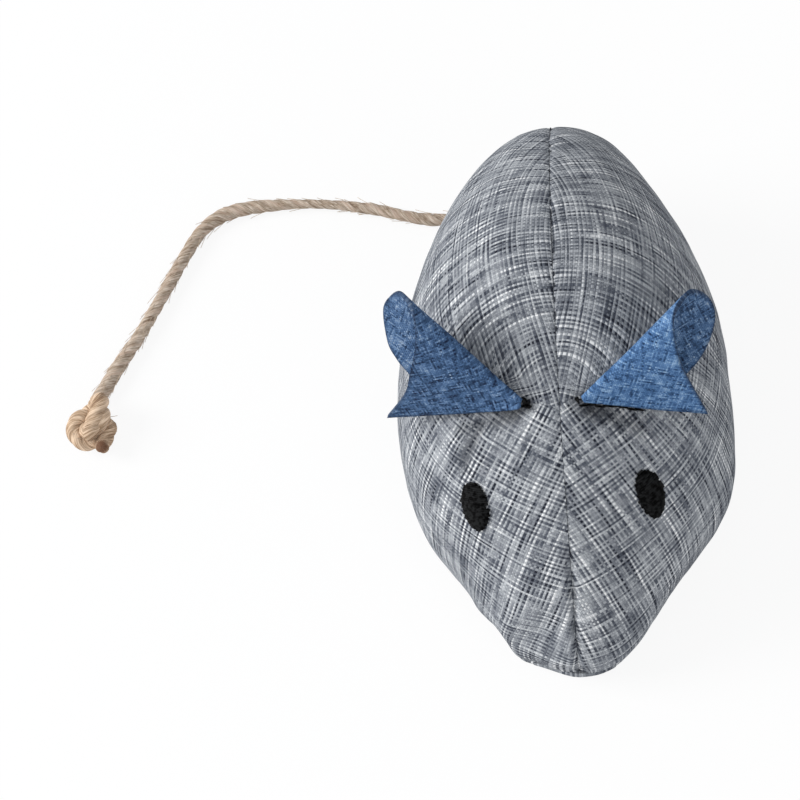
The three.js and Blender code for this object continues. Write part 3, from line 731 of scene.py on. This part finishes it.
def pressed(points):
    """The body as pressed by hand: a blunter snout on the mouse's right, and shallow dents and swellings."""
    x, y, z = np.moveaxis(points, -1, 0) / MM
    right = ease(0, 6, -x)
    back = SNOUT_BLUNT * right * ease(-43, -48, y)
    out = SNOUT_FULL * right * ease(-30, -40, y) * ease(14, 4, z)
    moved = points + MM * np.stack([-out, back, 0 * z], -1)
    for place, reach, push in PRESSES:
        away = size_of(points / MM - place)
        moved = moved + MM * np.exp(-((away / reach) ** 2))[..., None] * push
    return moved


def puffed_out(word):
    """Cloth simulation: cloth cut a little full, sewn down at its seams and dart, fills out by pressure."""
    s, u, cut, column = panel_grid(word, PATTERN_ROWS, PATTERN_COLUMNS)
    rows, columns = s.shape
    start = skin(s, u) * PUFF_SCALE
    mesh = bpy.data.meshes.new("puffed_panel")
    mesh.from_pydata(start.reshape(-1, 3).tolist(), [], grid_faces(rows, columns))
    panel = bpy.data.objects.new("puffed_panel", mesh)
    scene.collection.objects.link(panel)
    held = np.zeros(s.shape, bool)
    held[[0, -1]] = held[:, [0, -1]] = held[cut, : column + 1] = True
    panel.vertex_groups.new(name="sewn").add(np.flatnonzero(held).tolist(), 1, "ADD")
    cloth = panel.modifiers.new("cloth", "CLOTH")
    for setting, value in PUFF_SETTINGS.items():
        setattr(cloth.settings, setting, value)
    cloth.settings.effector_weights.gravity = 0
    cloth.collision_settings.use_collision = False
    cloth.point_cache.frame_end = PUFF_FRAMES
    for moment in range(1, PUFF_FRAMES + 1):
        scene.frame_set(moment)
    evaluated = panel.evaluated_get(bpy.context.evaluated_depsgraph_get())
    moved = np.zeros(3 * rows * columns)
    evaluated.data.vertices.foreach_get("co", moved)
    scene.frame_set(1)
    bpy.data.objects.remove(panel)
    swollen = ((moved.reshape(rows, columns, 3) - start) * skin_normal(s, u)).sum(-1) / PUFF_SCALE
    swollen = swollen - PUFF_SETBACK * np.minimum(1, swollen / PUFF_SETBACK)
    return np.clip(swollen, -PUFF_LIMIT, PUFF_LIMIT)


sunk = {}


def on_panel(word, s, u, rise):
    """Points above the sewn panel, on the mouse's own side, at a height over its cloth."""
    grid, columns, sink = sunk[word]
    j = np.interp(u, columns, np.arange(len(columns)))
    nearest = np.round(j).astype(int)
    lines = np.arange(len(grid))
    i = np.array([np.interp(place, grid[:, column], lines) for place, column in zip(s, nearest)])
    depth = sink[np.round(i).astype(int), nearest]
    points = skin(s, u) + skin_normal(s, u) * (rise - depth)[:, None]
    return pressed(points * (SIDES[word], 1, 1))


# Grooves and swellings at the seams, the dart, the brow and the rump: depth and width
SEAM_ROLL = (0.2 * MM, 0.6 * MM)
BELLY_ROLL = (0.3 * MM, 1.2 * MM)
DART_GROOVE = (0.9 * MM, 1.5 * MM)
BROW_SWELL = (0.45 * MM, 2.6 * MM)
BROW_AHEAD = 4 * MM
RUMP_SWELL = (0.9 * MM, 2.2 * MM)
RUMP_PEAK = 0.885

# Along the back seam, in millimetres of y: the brow, where it lies calm, and the nose, where it is deeper
BROW_CALM = 0.75
BROW_BEHIND = (-21, -25)
BROW_BEFORE = (-41, -37)
NOSE_DEEPER = 4
NOSE_REACH = (-37, -44)
NARROW = 14 * MM

# Puckers that the stitches draw: height, length along the seam, and how far they reach from it
SEAM_PULL = 0.25 * MM
SEAM_PUCKER = (0.16 * MM, 1.9 * MM, 3.2 * MM)
BELLY_PUCKER = (0.22 * MM, 2.6 * MM, 5 * MM)

# Folds before the ears: both ends and the width and depth in millimetres, and how dark the painted shade in
# them is
FOLDS = {
    "left": [((5, -21.9), (12.3, -23.2), 2.0, 0.6, 0.8)],
    "right": [
        ((7.5, -21.9), (16.5, -20.9), 1.5, 0.4, 0.7),
        ((13.2, -21.6), (16.2, -25.5), 1.3, 0.8, 0.6),
    ],
}

# Lumps of the filling: height, size and, for each side, a seed
LUMPS = [
    (0.35 * MM, 13 * MM, {"left": 7.0, "right": 31.0}),
    (0.12 * MM, 4.5 * MM, {"left": 2.0, "right": 17.0}),
]

# Seam allowances: along the back how deep, along the belly the share of width and height and the ends in y
TURNED_IN = (3 * MM, 1.2 * MM)
ROOM_FROM = 9 * MM
ROOM_RUN = 20 * MM
TURNED_UNDER = ((0.95, 0.5, (-48.3, 44.1)), (0.85, 0.0, (-47.2, 43.4)))
FROM_MIDDLE = 0.02 * MM
GRAIN_SHIFT = {"left": 0, "right": 97.0}


def hollow(away, depth, width):
    """Depth of a soft groove at a distance from its bottom."""
    return depth * np.exp(-((away / width) ** 2))


def side_panel(word, side, material):
    """One panel: the skin drawn in at its seams, dart and folds, with its allowances, its grain and painted
    shade in the folds before the ears.
    """
    s, u, cut, column = panel_grid(word, PANEL_ROWS, PANEL_COLUMNS)
    points = skin(s, u)
    normal = skin_normal(s, u)
    across = size_of(np.diff(points, axis=1))
    across = np.concatenate([0 * across[:, :1], np.cumsum(across, axis=1)], 1)
    girth = across[:, -1:]
    from_belly = girth - across
    seam_run = np.cumsum(size_of(np.diff(points[:, 0], axis=0, prepend=points[:1, 0])))
    tip_column = np.argmin(np.abs(u[0] - skin_above(*EAR_TIPS[word])[1]))
    from_dart, dart_share = to_segment(points, points[cut, tip_column], points[cut, column])
    y = points[..., 1] / MM
    brow = 1 - BROW_CALM * ease(*BROW_BEHIND, y) * ease(*BROW_BEFORE, y)

    def puckers(length, own, row):
        return np.array([noise.noise((b / length, side * own, row)) for b in seam_run])[:, None]

    height, length, reach = SEAM_PUCKER
    sink = hollow(across, *SEAM_ROLL) * (brow + NOSE_DEEPER * ease(*NOSE_REACH, y))
    sink += (SEAM_PULL + height * puckers(length, 3.1, 0)) * np.exp(-across / reach) * brow
    height, length, reach = BELLY_PUCKER
    sink += hollow(from_belly, *BELLY_ROLL)
    sink += height * puckers(length, 5.7, 1) * np.exp(-from_belly / reach)
    sink += hollow(from_dart, *DART_GROOVE) * (1 - 0.5 * dart_share)
    sink -= hollow(from_dart - BROW_AHEAD, *BROW_SWELL) * ease(0, 3, -(y - EAR_TIPS[word][1]))
    # Painted shade: the cloth colour is darkened in the folds before the ears, where the ears shade it
    shadow = 0 * across
    for start, stop, width, depth, dark in FOLDS[word]:
        away, share = to_segment(points, *(skin(*skin_above(*place)) for place in (start, stop)))
        fold = hollow(away, 1, width * MM) * (1 - 0.4 * share)
        sink += depth * MM * fold
        shadow = np.maximum(shadow, dark * fold)
    for height, size, seeds in LUMPS:
        sink -= height * lumps(points, size, seeds[word])
    peak = skin(np.array(RUMP_PEAK), np.array(0.0))
    sink -= hollow(size_of(points - peak), *RUMP_SWELL)
    swollen = puffed_out(word)[..., None]
    ahead = spread_over(swollen[: PATTERN_ROWS[0]], cut + 1, PANEL_COLUMNS)
    behind = spread_over(swollen[PATTERN_ROWS[0] - 1 :], len(s) - cut, PANEL_COLUMNS)
    sink -= np.concatenate([ahead, behind[1:]])[..., 0]
    sink *= np.minimum(1, girth / NARROW)
    sunk[word] = s, u[0], sink
    shaped = points - normal * sink[..., None]
    shaped[..., 0] = np.maximum(shaped[..., 0], FROM_MIDDLE)
    shaped[..., 2] = np.maximum(shaped[..., 2], SEAM_HEIGHT)

    # Seam allowances: folded in along the back, and turned under along the belly
    room = np.clip((girth[:, :, None] - ROOM_FROM) / ROOM_RUN, 0, 1)
    turned_in = [shaped[:, :1] - normal[:, :1] * depth * room for depth in TURNED_IN]
    for strip in turned_in:
        strip[..., 0] = FROM_MIDDLE
    under = []
    for share, height, ends in TURNED_UNDER:
        strip = shaped[:, -1:] * (share, 1, 1)
        strip[..., 1] = np.clip(strip[..., 1], ends[0] * MM, ends[1] * MM)
        strip[..., 2] = BELLY_CLOTH + (strip[..., 2] - BELLY_CLOTH) * height
        under.append(strip)
    cloth = pressed(np.concatenate([*turned_in, shaped, *under], 1) * (side, 1, 1))

    # Grain: every corner of the cloth takes its place from the flat pattern, on its own side of the dart
    laid = []
    for half, rows in zip(flat_pattern(word), (cut + 1, len(cloth) - cut)):
        uv = spread_over(half, rows, PANEL_COLUMNS)
        uv = np.concatenate([uv[:, :1], uv[:, :1], uv, uv[:, -1:], uv[:, -1:]], 1)
        quads = np.array(grid_faces(*uv.shape[:2]))
        laid.append(uv.reshape(-1, 2)[quads])
    laid = np.concatenate(laid) + (0, GRAIN_SHIFT[word])
    faces = np.array(grid_faces(*cloth.shape[:2]))
    if side < 0:
        faces, laid = faces[:, ::-1], laid[:, ::-1]
    made = piece(f"side_panel_{word}_linen", cloth, faces.tolist(), material, laid)
    # The painted shade of the folds goes to the material as a point attribute
    layer = made.data.attributes.new("fold", "FLOAT", "POINT")
    layer.data.foreach_set("value", np.pad(shadow, ((0, 0), (len(turned_in), len(under)))).ravel())
    thick = made.modifiers.new("cloth", "SOLIDIFY")
    thick.thickness = CLOTH
    thick.offset = -1
    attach(made, "body")
    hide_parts(f"side_panel_{word}")
    return made


# Yarn thickness in millimetres, how far it wanders, and the tones from charcoal to white.
# The rates say how fast a yarn's wander, its tone and the bands change, beside it and along it.
YARN = 0.37
SLUB = 1.7
SLUB_RATE = (0.8, 0.07)
TONE_RATE = (5.37, 0.1)
BAND_RATE = (0.42, 0.03)
LINEN_STOPS = [
    (0.30, (0.014, 0.017, 0.028)),
    (0.40, (0.090, 0.102, 0.128)),
    (0.50, (0.280, 0.297, 0.325)),
    (0.61, (0.520, 0.542, 0.566)),
    (0.745, (0.930, 0.935, 0.940)),
]
# Colour of the painted shade in the hollows between the yarns
LINEN_GAP_SHADE = (0.03, 0.034, 0.042, 1)
# Colour of the painted shade in the folds before the ears
FOLD_SHADE = (0.006, 0.007, 0.010, 1)


def linen(name):
    """Plain weave of uneven yarns: white, grey-blue and charcoal, each changing along its length, with
    painted shade in the hollows between the yarns and in the folds before the ears.
    """
    material, shade = blank_material(name)
    across, along = cloth_place(shade)

    def yarns(run, beside, seed, alternate):
        """Yarns side by side in one direction: their tone, their count and the height of their round."""
        slub = shade.streaks(beside * SLUB_RATE[0] + seed, run * SLUB_RATE[1], 1.0)
        place = beside / YARN + slub * SLUB
        count = place.math("FLOOR")
        own = shade.streaks(count * TONE_RATE[0] + seed, run * TONE_RATE[1], 3.0)
        band = shade.streaks(beside * BAND_RATE[0] + seed, run * BAND_RATE[1], 2.0)
        stripe = (count.math("FLOORED_MODULO", 2) - 0.5) * alternate
        tone = own * 0.82 + band * 0.06 + (stripe + 0.06)
        return tone, count, (place.math("FRACT") * math.pi).math("SINE")

    warp, warp_count, warp_round = yarns(along, across, 3.0, 0.10)
    weft, weft_count, weft_round = yarns(across, along, 61.0, 0.14)
    over = (warp_count + weft_count).math("FLOORED_MODULO", 2)
    warp_share = 0.16 + 0.54 * over
    tone = warp_share * (warp * 0.95 + 0.03) + (1 - warp_share) * (weft * 1.12 - 0.06)
    height = over * warp_round + (1 - over) * weft_round
    colour = tone.ramp(LINEN_STOPS)
    # Painted shade: darker where the yarns dip, between them
    colour = ((1 - height) * 0.3).mix(colour, LINEN_GAP_SHADE)
    # Painted shade in the folds before the ears, read from the side panels' attribute
    fold = shade.node("ShaderNodeAttribute", {"attribute_name": "fold"}, out="Fac")
    colour = fold.mix(colour, FOLD_SHADE)
    principled(colour, 0.92 - 0.08 * tone, height, 0.2 * MM, 0.55)
    return material


linen_material = linen("linen")
panels = {word: side_panel(word, side, linen_material) for word, side in SIDES.items()}

# Belly: a flat base of the same cloth, sewn to the lower edges of the side panels.
# Its rim stands out a little past the seam and shows as a narrow strip beside the snout.
BELLY_RIM = 0.8 * MM
BELLY_SETBACK = 2.4
BELLY_CHIN = 1.5 * MM
BELLY_ENDS = (0.02, 0.985)
# Section through the cloth: share of the width and of the thickness
BELLY_SECTION = ((0.0, 1), (0.9, 1), (0.985, 0.95), (1.0, 0.5), (0.985, 0.05), (0.9, 0), (0.0, 0))

places = np.linspace(*BELLY_ENDS, 120)
seam_line = smooth_line(belly_points, places)
run = np.gradient(seam_line, axis=0) * (1, 1, 0)
edge = seam_line + BELLY_RIM * unit(np.stack([run[:, 1], -run[:, 0], 0 * places], 1))
edge = edge[edge[:, 1] > (NOSE[0] + BELLY_SETBACK) * MM]
turn = np.linspace(0, np.pi / 2, 10)[:-1, None]
chin = edge[0] * (1, 0, 0) * np.sin(turn) + edge[0] * (0, 1, 1) - BELLY_CHIN * np.cos(turn) * (0, 1, 0)
edge = np.concatenate([chin, edge])
rows = []
for share, height in BELLY_SECTION:
    half_row = edge * (share, 1, 0) + (0, 0, height * BELLY_CLOTH)
    rows.append(np.concatenate([half_row, half_row[::-1] * (-1, 1, 1)]))
rows = np.array(rows)
belly_faces = grid_faces(len(rows), rows.shape[1], wrap=True)
belly = piece("belly_panel_linen", pressed(rows), belly_faces, linen_material, rows[..., :2] / MM)
joined = bmesh.new()
joined.from_mesh(belly.data)
bmesh.ops.remove_doubles(joined, verts=joined.verts, dist=0.01 * MM)
bmesh.ops.recalc_face_normals(joined, faces=joined.faces)
joined.to_mesh(belly.data)
joined.free()
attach(belly, "body")
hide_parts("belly_panel")

# Ears: a fan of blue chambray on each side, its lower edge rolled and caught in the dart.
# From there it rolls up over a round lobe and down behind, into an open cone.
EAR_CLOTH = 0.7 * MM
EAR_POINT = 0.6 * MM
EAR_LIFT = 0.9 * MM
DART_SINK = 0.2 * MM
# Rim of each fan from its point, in millimetres: along the dart, backwards and upwards
EAR_RIMS = {
    "left": [
        (21.8, 0, 0), (17.6, 3.6, 4), (13.7, 7.2, 8), (11.2, 11.6, 10.9), (10.7, 15, 12.3),
        (13.2, 18.3, 11.9), (17.3, 17.8, 9), (19.2, 15.2, 7), (19.5, 11.4, 4.3), (18.4, 8.2, 3.3),
        (16.6, 5.6, 2.7),
    ],
    "right": [
        (25.2, -0.5, 0.1), (19.2, 2.7, 4.7), (15.5, 6.1, 8.9), (13, 9.4, 11.5), (11.8, 13, 13.2),
        (12.4, 16.7, 13.7), (15.6, 18.7, 11.8), (20.2, 17, 7.8), (21.8, 11.6, 4.4), (20.7, 8.4, 3.5),
        (18.8, 5.8, 3.1),
    ],
}
# Roll of the lower edge: how far it stands forward, and a power that is small where this is near the point
EAR_ROLL = {"left": (0.1 * MM, 0.9), "right": (0.8 * MM, 0.3)}
ROLL_REACH = 0.16
ROLL_WAY = (0, -1, 0.35)
EAR_SAG = 0.35 * MM
SAG_SIZE = 9 * MM
EAR_ACROSS = 120
EAR_OUTWARDS = 60
# Painted shade along the rim of each ear: how wide it is, and how dark it is along the two straight edges
EDGE_WIDTH = 0.6 * MM
EDGE_DARK = 0.7


def ear_frame(word):
    """Tip of the ear and the directions along its dart, backwards and upwards, on the left half."""
    tip, end = skin_above(*EAR_TIPS[word]), skin_above(*DART_ENDS[word])
    origin = skin(*tip) - DART_SINK * skin_normal(*tip)
    along = unit(skin(*end) - DART_SINK * skin_normal(*end) - origin)
    back = unit(np.cross(skin_normal(*tip) + skin_normal(*end), along))
    return origin, np.stack([along, back, np.cross(along, back)])


CHAMBRAY_STOPS = [
    (0.28, (0.006, 0.016, 0.050)),
    (0.42, (0.030, 0.070, 0.150)),
    (0.55, (0.075, 0.155, 0.310)),
    (0.68, (0.160, 0.270, 0.460)),
    (0.82, (0.330, 0.440, 0.600)),
]
# Colour of the painted shade in the hollows between the yarns
CHAMBRAY_GAP_SHADE = (0.01, 0.02, 0.05, 1)
# Colour of the painted shade along the rim
CHAMBRAY_EDGE_SHADE = (0.010, 0.014, 0.032, 1)
EAR_YARN = 0.3
HEATHER = 0.42


def chambray(name, painted_paleness, tint):
    """Fine blue weave, heathered by pale and navy yarns, with painted shade along its rim and between its
    yarns, and with painted light that makes some faces paler.
    """
    # Painted light: the stops move by how much paler this face is painted
    stops = [(place - painted_paleness, tuple(np.multiply(colour, tint))) for place, colour in CHAMBRAY_STOPS]
    material, shade = blank_material(name)
    across, along = cloth_place(shade)
    warp_count = (across / EAR_YARN).math("FLOOR")
    weft_count = (along / EAR_YARN).math("FLOOR")
    over = (warp_count + weft_count).math("FLOORED_MODULO", 2)
    warp = shade.streaks(warp_count * 4.71, along * HEATHER, 2.0)
    weft = shade.streaks(weft_count * 6.13 + 40, across * HEATHER, 2.0)
    warp_share = 0.2 + 0.5 * over
    tone = warp_share * warp + (1 - warp_share) * weft
    warp_round = ((across / EAR_YARN).math("FRACT") * math.pi).math("SINE")
    weft_round = ((along / EAR_YARN).math("FRACT") * math.pi).math("SINE")
    height = over * warp_round + (1 - over) * weft_round
    colour = ((tone - 0.5) * 1.2 + 0.5).ramp(stops)
    # Painted shade: darker where the yarns dip, between them
    colour = ((1 - height) * 0.35).mix(colour, CHAMBRAY_GAP_SHADE)
    # Painted shade along the rim, read from the ear's attribute
    edge = shade.node("ShaderNodeAttribute", {"attribute_name": "edge"}, out="Fac")
    colour = (edge * 0.6).mix(colour, CHAMBRAY_EDGE_SHADE)
    principled(colour, 0.85 - 0.05 * tone, height, 0.18 * MM, 0.6)
    return material


def ear(word, side, outside, inside):
    """One ear: the fan between its point and its rim, rolled at the lower edge and a little slack."""
    origin, axes = ear_frame(word)
    v = np.linspace(0, 1, EAR_ACROSS)
    rim = smooth_line(MM * np.array(EAR_RIMS[word], float), v)
    start = EAR_POINT / rim[0, 0]
    r = np.linspace(start, 1, EAR_OUTWARDS)[:, None, None]
    fan = rim[None] * r
    far = size_of(rim)
    heading = unit(rim)
    steps = np.arccos(np.clip((heading[1:] * heading[:-1]).sum(1), -1, 1))
    turn = np.concatenate([[0], np.cumsum(steps)])
    radius = r[..., 0] * far[None]
    uv = np.stack([radius * np.cos(turn), radius * np.sin(turn)], -1) / MM
    sag = lumps(fan, SAG_SIZE, 5.0 + 9 * side) * EAR_SAG * r[..., 0]
    by_r = fan / r
    by_v = np.gradient(fan, axis=1)
    out = unit(np.cross(by_r, by_v))
    fan = fan + out * sag[..., None] + (0, 0, EAR_LIFT)
    roll, nearness = EAR_ROLL[word]
    rolled = roll * np.sin(np.pi * r**nearness) * ease(ROLL_REACH, 0, v)[None, :, None]
    fan = fan + rolled * ROLL_WAY
    # Painted shade: a narrow dark band along the rim and along both straight edges
    edge = 1 - np.minimum(1, (1 - r[..., 0]) * far[None] / EDGE_WIDTH)
    for hem in (edge[:, :2], edge[:, -2:]):
        hem[:] = np.maximum(hem, EDGE_DARK)
    world_points = (origin + fan.reshape(-1, 3) @ axes) * (side, 1, 1)
    faces = grid_faces(EAR_OUTWARDS, EAR_ACROSS)
    if side < 0:
        faces = [quad[::-1] for quad in faces]
    made = piece(f"ear_{word}_chambray", world_points, faces, inside, uv)
    layer = made.data.attributes.new("edge", "FLOAT", "POINT")
    layer.data.foreach_set("value", edge.ravel())
    thick = made.modifiers.new("cloth", "SOLIDIFY")
    thick.thickness = EAR_CLOTH
    thick.offset = 0
    made.data.materials.append(outside)
    thick.material_offset = 1
    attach(made, f"ear_{word}")
    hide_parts(f"ear_{word}")


# Each face of each ear: how much paler it is, and its tint. This is painted light and shade: the faces
# turned to the lamp at the left are made paler than the others
EAR_FACES_PAINTED_LIGHT = {
    "left": {"outside": (0.098, (0.98, 1.13, 1.22)), "inside": (0.037, (1.04, 1.02, 1))},
    "right": {"outside": (0.005, (1, 1, 1)), "inside": (0.085, (1, 1, 1))},
}
for word, side in SIDES.items():
    faces = {face: chambray(f"chambray_{word}_{face}", *shade) for face, shade in EAR_FACES_PAINTED_LIGHT[word].items()}
    ear(word, side, **faces)

# Eyes: black satin-stitch ovals worked straight into the face.
# Threads lie side by side across each oval and end unevenly, so its edge is ragged.
EYES = {"left": (13.65, -30.85), "right": (14.7, -30.7)}
EYE_TILT = {"left": math.radians(-50), "right": math.radians(-28)}
EYE_SIZE = {"left": (8.3 * MM, 4.7 * MM), "right": (7.8 * MM, 5.2 * MM)}
EYE_CROWN = 0.55 * MM
EYE_LIFT = 0.12 * MM
EYE_THREAD = 0.46 * MM
EYE_ROWS = 25
EYE_SLANT = 0.12
EYE_RAGGED = (0.9, 1.12)
EYE_STRAY = 0.25
BLACK_DARK = (0.0002, 0.0002, 0.0003)
BLACK_LIGHT = (0.015, 0.0155, 0.016)
black_thread = thread_material("black_thread", BLACK_DARK, BLACK_LIGHT, 0.5, gloss=0.04, spread=0.09)


def eye(word, side):
    """Rows of thread across the oval, laid on the panel and crowned in the middle."""
    s, u = skin_above(*EYES[word])
    step = 1e-3
    per_s = size_of(skin(s + step, u) - skin(s, u)) / step
    per_u = size_of(skin(s, u + step) - skin(s, u)) / step
    tilt = EYE_TILT[word]
    eye_length, eye_width = EYE_SIZE[word]
    random = np.random.default_rng(21 + side)
    lines = []
    for t in np.linspace(-0.985, 0.985, EYE_ROWS):
        half = eye_width / 2 * math.sqrt(1 - t * t)
        ends = half * random.uniform(*EYE_RAGGED, 2) + random.uniform(0, EYE_STRAY, 2) * MM
        out = np.linspace(-ends[0], ends[1], 9)
        lengthways = t * eye_length / 2 + out * EYE_SLANT
        by_s = lengthways * math.cos(tilt) - out * math.sin(tilt)
        by_u = lengthways * math.sin(tilt) + out * math.cos(tilt)
        crown = EYE_CROWN * np.sqrt(np.clip(1 - t * t - (out / eye_width * 2) ** 2, 0, 1))
        lines.append(on_panel(word, s + by_s / per_s, u + by_u / per_u, crown + EYE_LIFT))
    made = sewn_threads(f"eye_{word}_satin_stitch", lines, EYE_THREAD, black_thread, seed=5, unevenness=0.12)
    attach(made, "body")
    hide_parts(f"eye_{word}")


for word, side in SIDES.items():
    eye(word, side)

# Stitches: black thread that closes each dart at the ear, and the dark sewing thread of the back seam.
# The dart is finished off with a few knotted turns at the point of the ear.
DART_THREAD = 0.4 * MM
SEAM_THREAD = 0.24 * MM
# The stitches along the dart are real black thread, and they also stand in for the shadow under the ear's
# lower edge: they reach along the dart and lie just in front of it, where that shadow falls
DART_STITCHES_AND_SHADOW = {"left": 0.85, "right": 0.62}
DART_KNOTS = {"left": 2, "right": 9}
DART_AHEAD = {"left": (0.004, 0.007), "right": (0.003, 0.006)}
STITCH_PITCH = 0.105
STITCH_LENGTH = (0.1, 0.14)
STITCH_BOW = 0.3
STITCH_SINK = 0.1
TURN_LEAN = 0.5 * MM
TURN_BOW = 0.35 * MM


def dart_stitches(word, side):
    """Stitches along the dart, which also stand in for the shadow under the ear's lower edge, and the
    knotted turns at its point.
    """
    tip, end = np.array(skin_above(*EAR_TIPS[word])), np.array(skin_above(*DART_ENDS[word]))
    random = np.random.default_rng(31 + side)
    lines = []
    for share in np.arange(0.02, DART_STITCHES_AND_SHADOW[word], STITCH_PITCH):
        ends = share + np.array((0, random.uniform(*STITCH_LENGTH)))
        at = tip + (end - tip) * np.linspace(*ends, 6)[:, None] - (random.uniform(*DART_AHEAD[word]), 0)
        rise = STITCH_BOW * np.sin(np.linspace(0, np.pi, 6)) - STITCH_SINK
        lines.append(on_panel(word, *at.T, rise * MM))
    middle = skin(*tip) + skin_normal(*tip) * 0.1 * MM
    for _ in range(DART_KNOTS[word]):
        lean = random.normal(size=3) * TURN_LEAN
        bow = random.normal(size=3) * TURN_BOW
        w = np.linspace(-1, 1, 6)[:, None]
        lines.append((middle + lean * w + bow * (1 - w * w)) * (side, 1, 1))
    made = sewn_threads(f"dart_stitches_{word}", lines, DART_THREAD, black_thread, seed=7)
    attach(made, "body")


for word, side in SIDES.items():
    dart_stitches(word, side)

# Back seam: lengths and gaps in steps along it, and between the ears and the snout none shows
DASH_STEP = 0.2 * MM
DASH_LENGTH = (5, 10)
DASH_GAP = (4, 9)
DASH_SHARE = 0.5
DASH_SINK = 0.36 * MM
DASH_STRAY = 0.12
SEAM_CLOSED = (-38 * MM, -23 * MM)
SEAM_DARK = (0.012, 0.015, 0.024)
SEAM_LIGHT = (0.06, 0.066, 0.08)

seam_line = [skin(np.array(s), np.array(0.0)) for s in np.linspace(0.05, 0.95, 400)]
seam_line, _ = even_steps(seam_line, DASH_STEP)
random = np.random.default_rng(41)
dashes = []
place = 0
while place < len(seam_line) - 14:
    length = random.integers(*DASH_LENGTH)
    hidden = SEAM_CLOSED[0] < seam_line[place, 1] < SEAM_CLOSED[1]
    if random.random() < DASH_SHARE and not hidden:
        dash = seam_line[place : place + length].copy()
        lift = np.stack([0 * dash[:, 0], -np.gradient(dash[:, 2]), np.gradient(dash[:, 1])], 1)
        dash -= unit(lift) * DASH_SINK
        dash[:, 0] += random.uniform(-DASH_STRAY, DASH_STRAY) * MM
        dashes.append(dash)
    place += length + random.integers(*DASH_GAP)
seam_material = thread_material("seam_thread", SEAM_DARK, SEAM_LIGHT, 0.8)
seam = sewn_threads("back_seam_stitches", dashes, SEAM_THREAD, seam_material, seed=9)
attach(seam, "body")

# Inside: polyester fill in two halves, dried catnip between them, the knotted root of the tail
# and the sewing thread in the seam allowances. They keep their solids, because none shows from outside.
def inner_material(name, stops, scale, depth):
    """Loose stuff of mixed tones: fibre, leaf or thread, by the size of its bits."""
    material, shade = blank_material(name)
    place = shade.node("ShaderNodeTexCoord", out="Object")
    bits = shade.node("ShaderNodeTexVoronoi", inputs={"Vector": place, "Scale": scale, "Randomness": 1.0})
    drift = place.clouds(scale * 1.7, 4.0)
    tone = bits * 0.4 + drift * 0.6
    colour = tone.ramp(stops)
    principled(colour, 0.95 - 0.1 * drift, tone, depth, 0.8)
    return material


fill_stops = [(0.25, (0.70, 0.69, 0.66)), (0.7, (0.92, 0.91, 0.89))]
leaf_stops = [(0.2, (0.05, 0.06, 0.02)), (0.45, (0.17, 0.20, 0.07)), (0.7, (0.34, 0.36, 0.16))]
root_stops = [(0.25, JUTE_DARK), (0.5, JUTE_MIDDLE), (0.75, JUTE_LIGHT)]
thread_stops = [(0.25, (0.22, 0.24, 0.26)), (0.7, (0.42, 0.44, 0.46))]
for material, nodes in (
    (inner_material("fibre_fill", fill_stops, 420, 0.0008), ("stuffing_left", "stuffing_right")),
    (inner_material("dried_catnip", leaf_stops, 700, 0.0006), ("catnip_filling",)),
    (inner_material("jute_root", root_stops, 1500, 0.0003), ("tail_anchor_knot",)),
    (inner_material("grey_thread", thread_stops, 2600, 0.0001), ("dorsal_seam_thread", "belly_seam_thread")),
):
    for node in nodes:
        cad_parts[node].material_slots[0].material = material
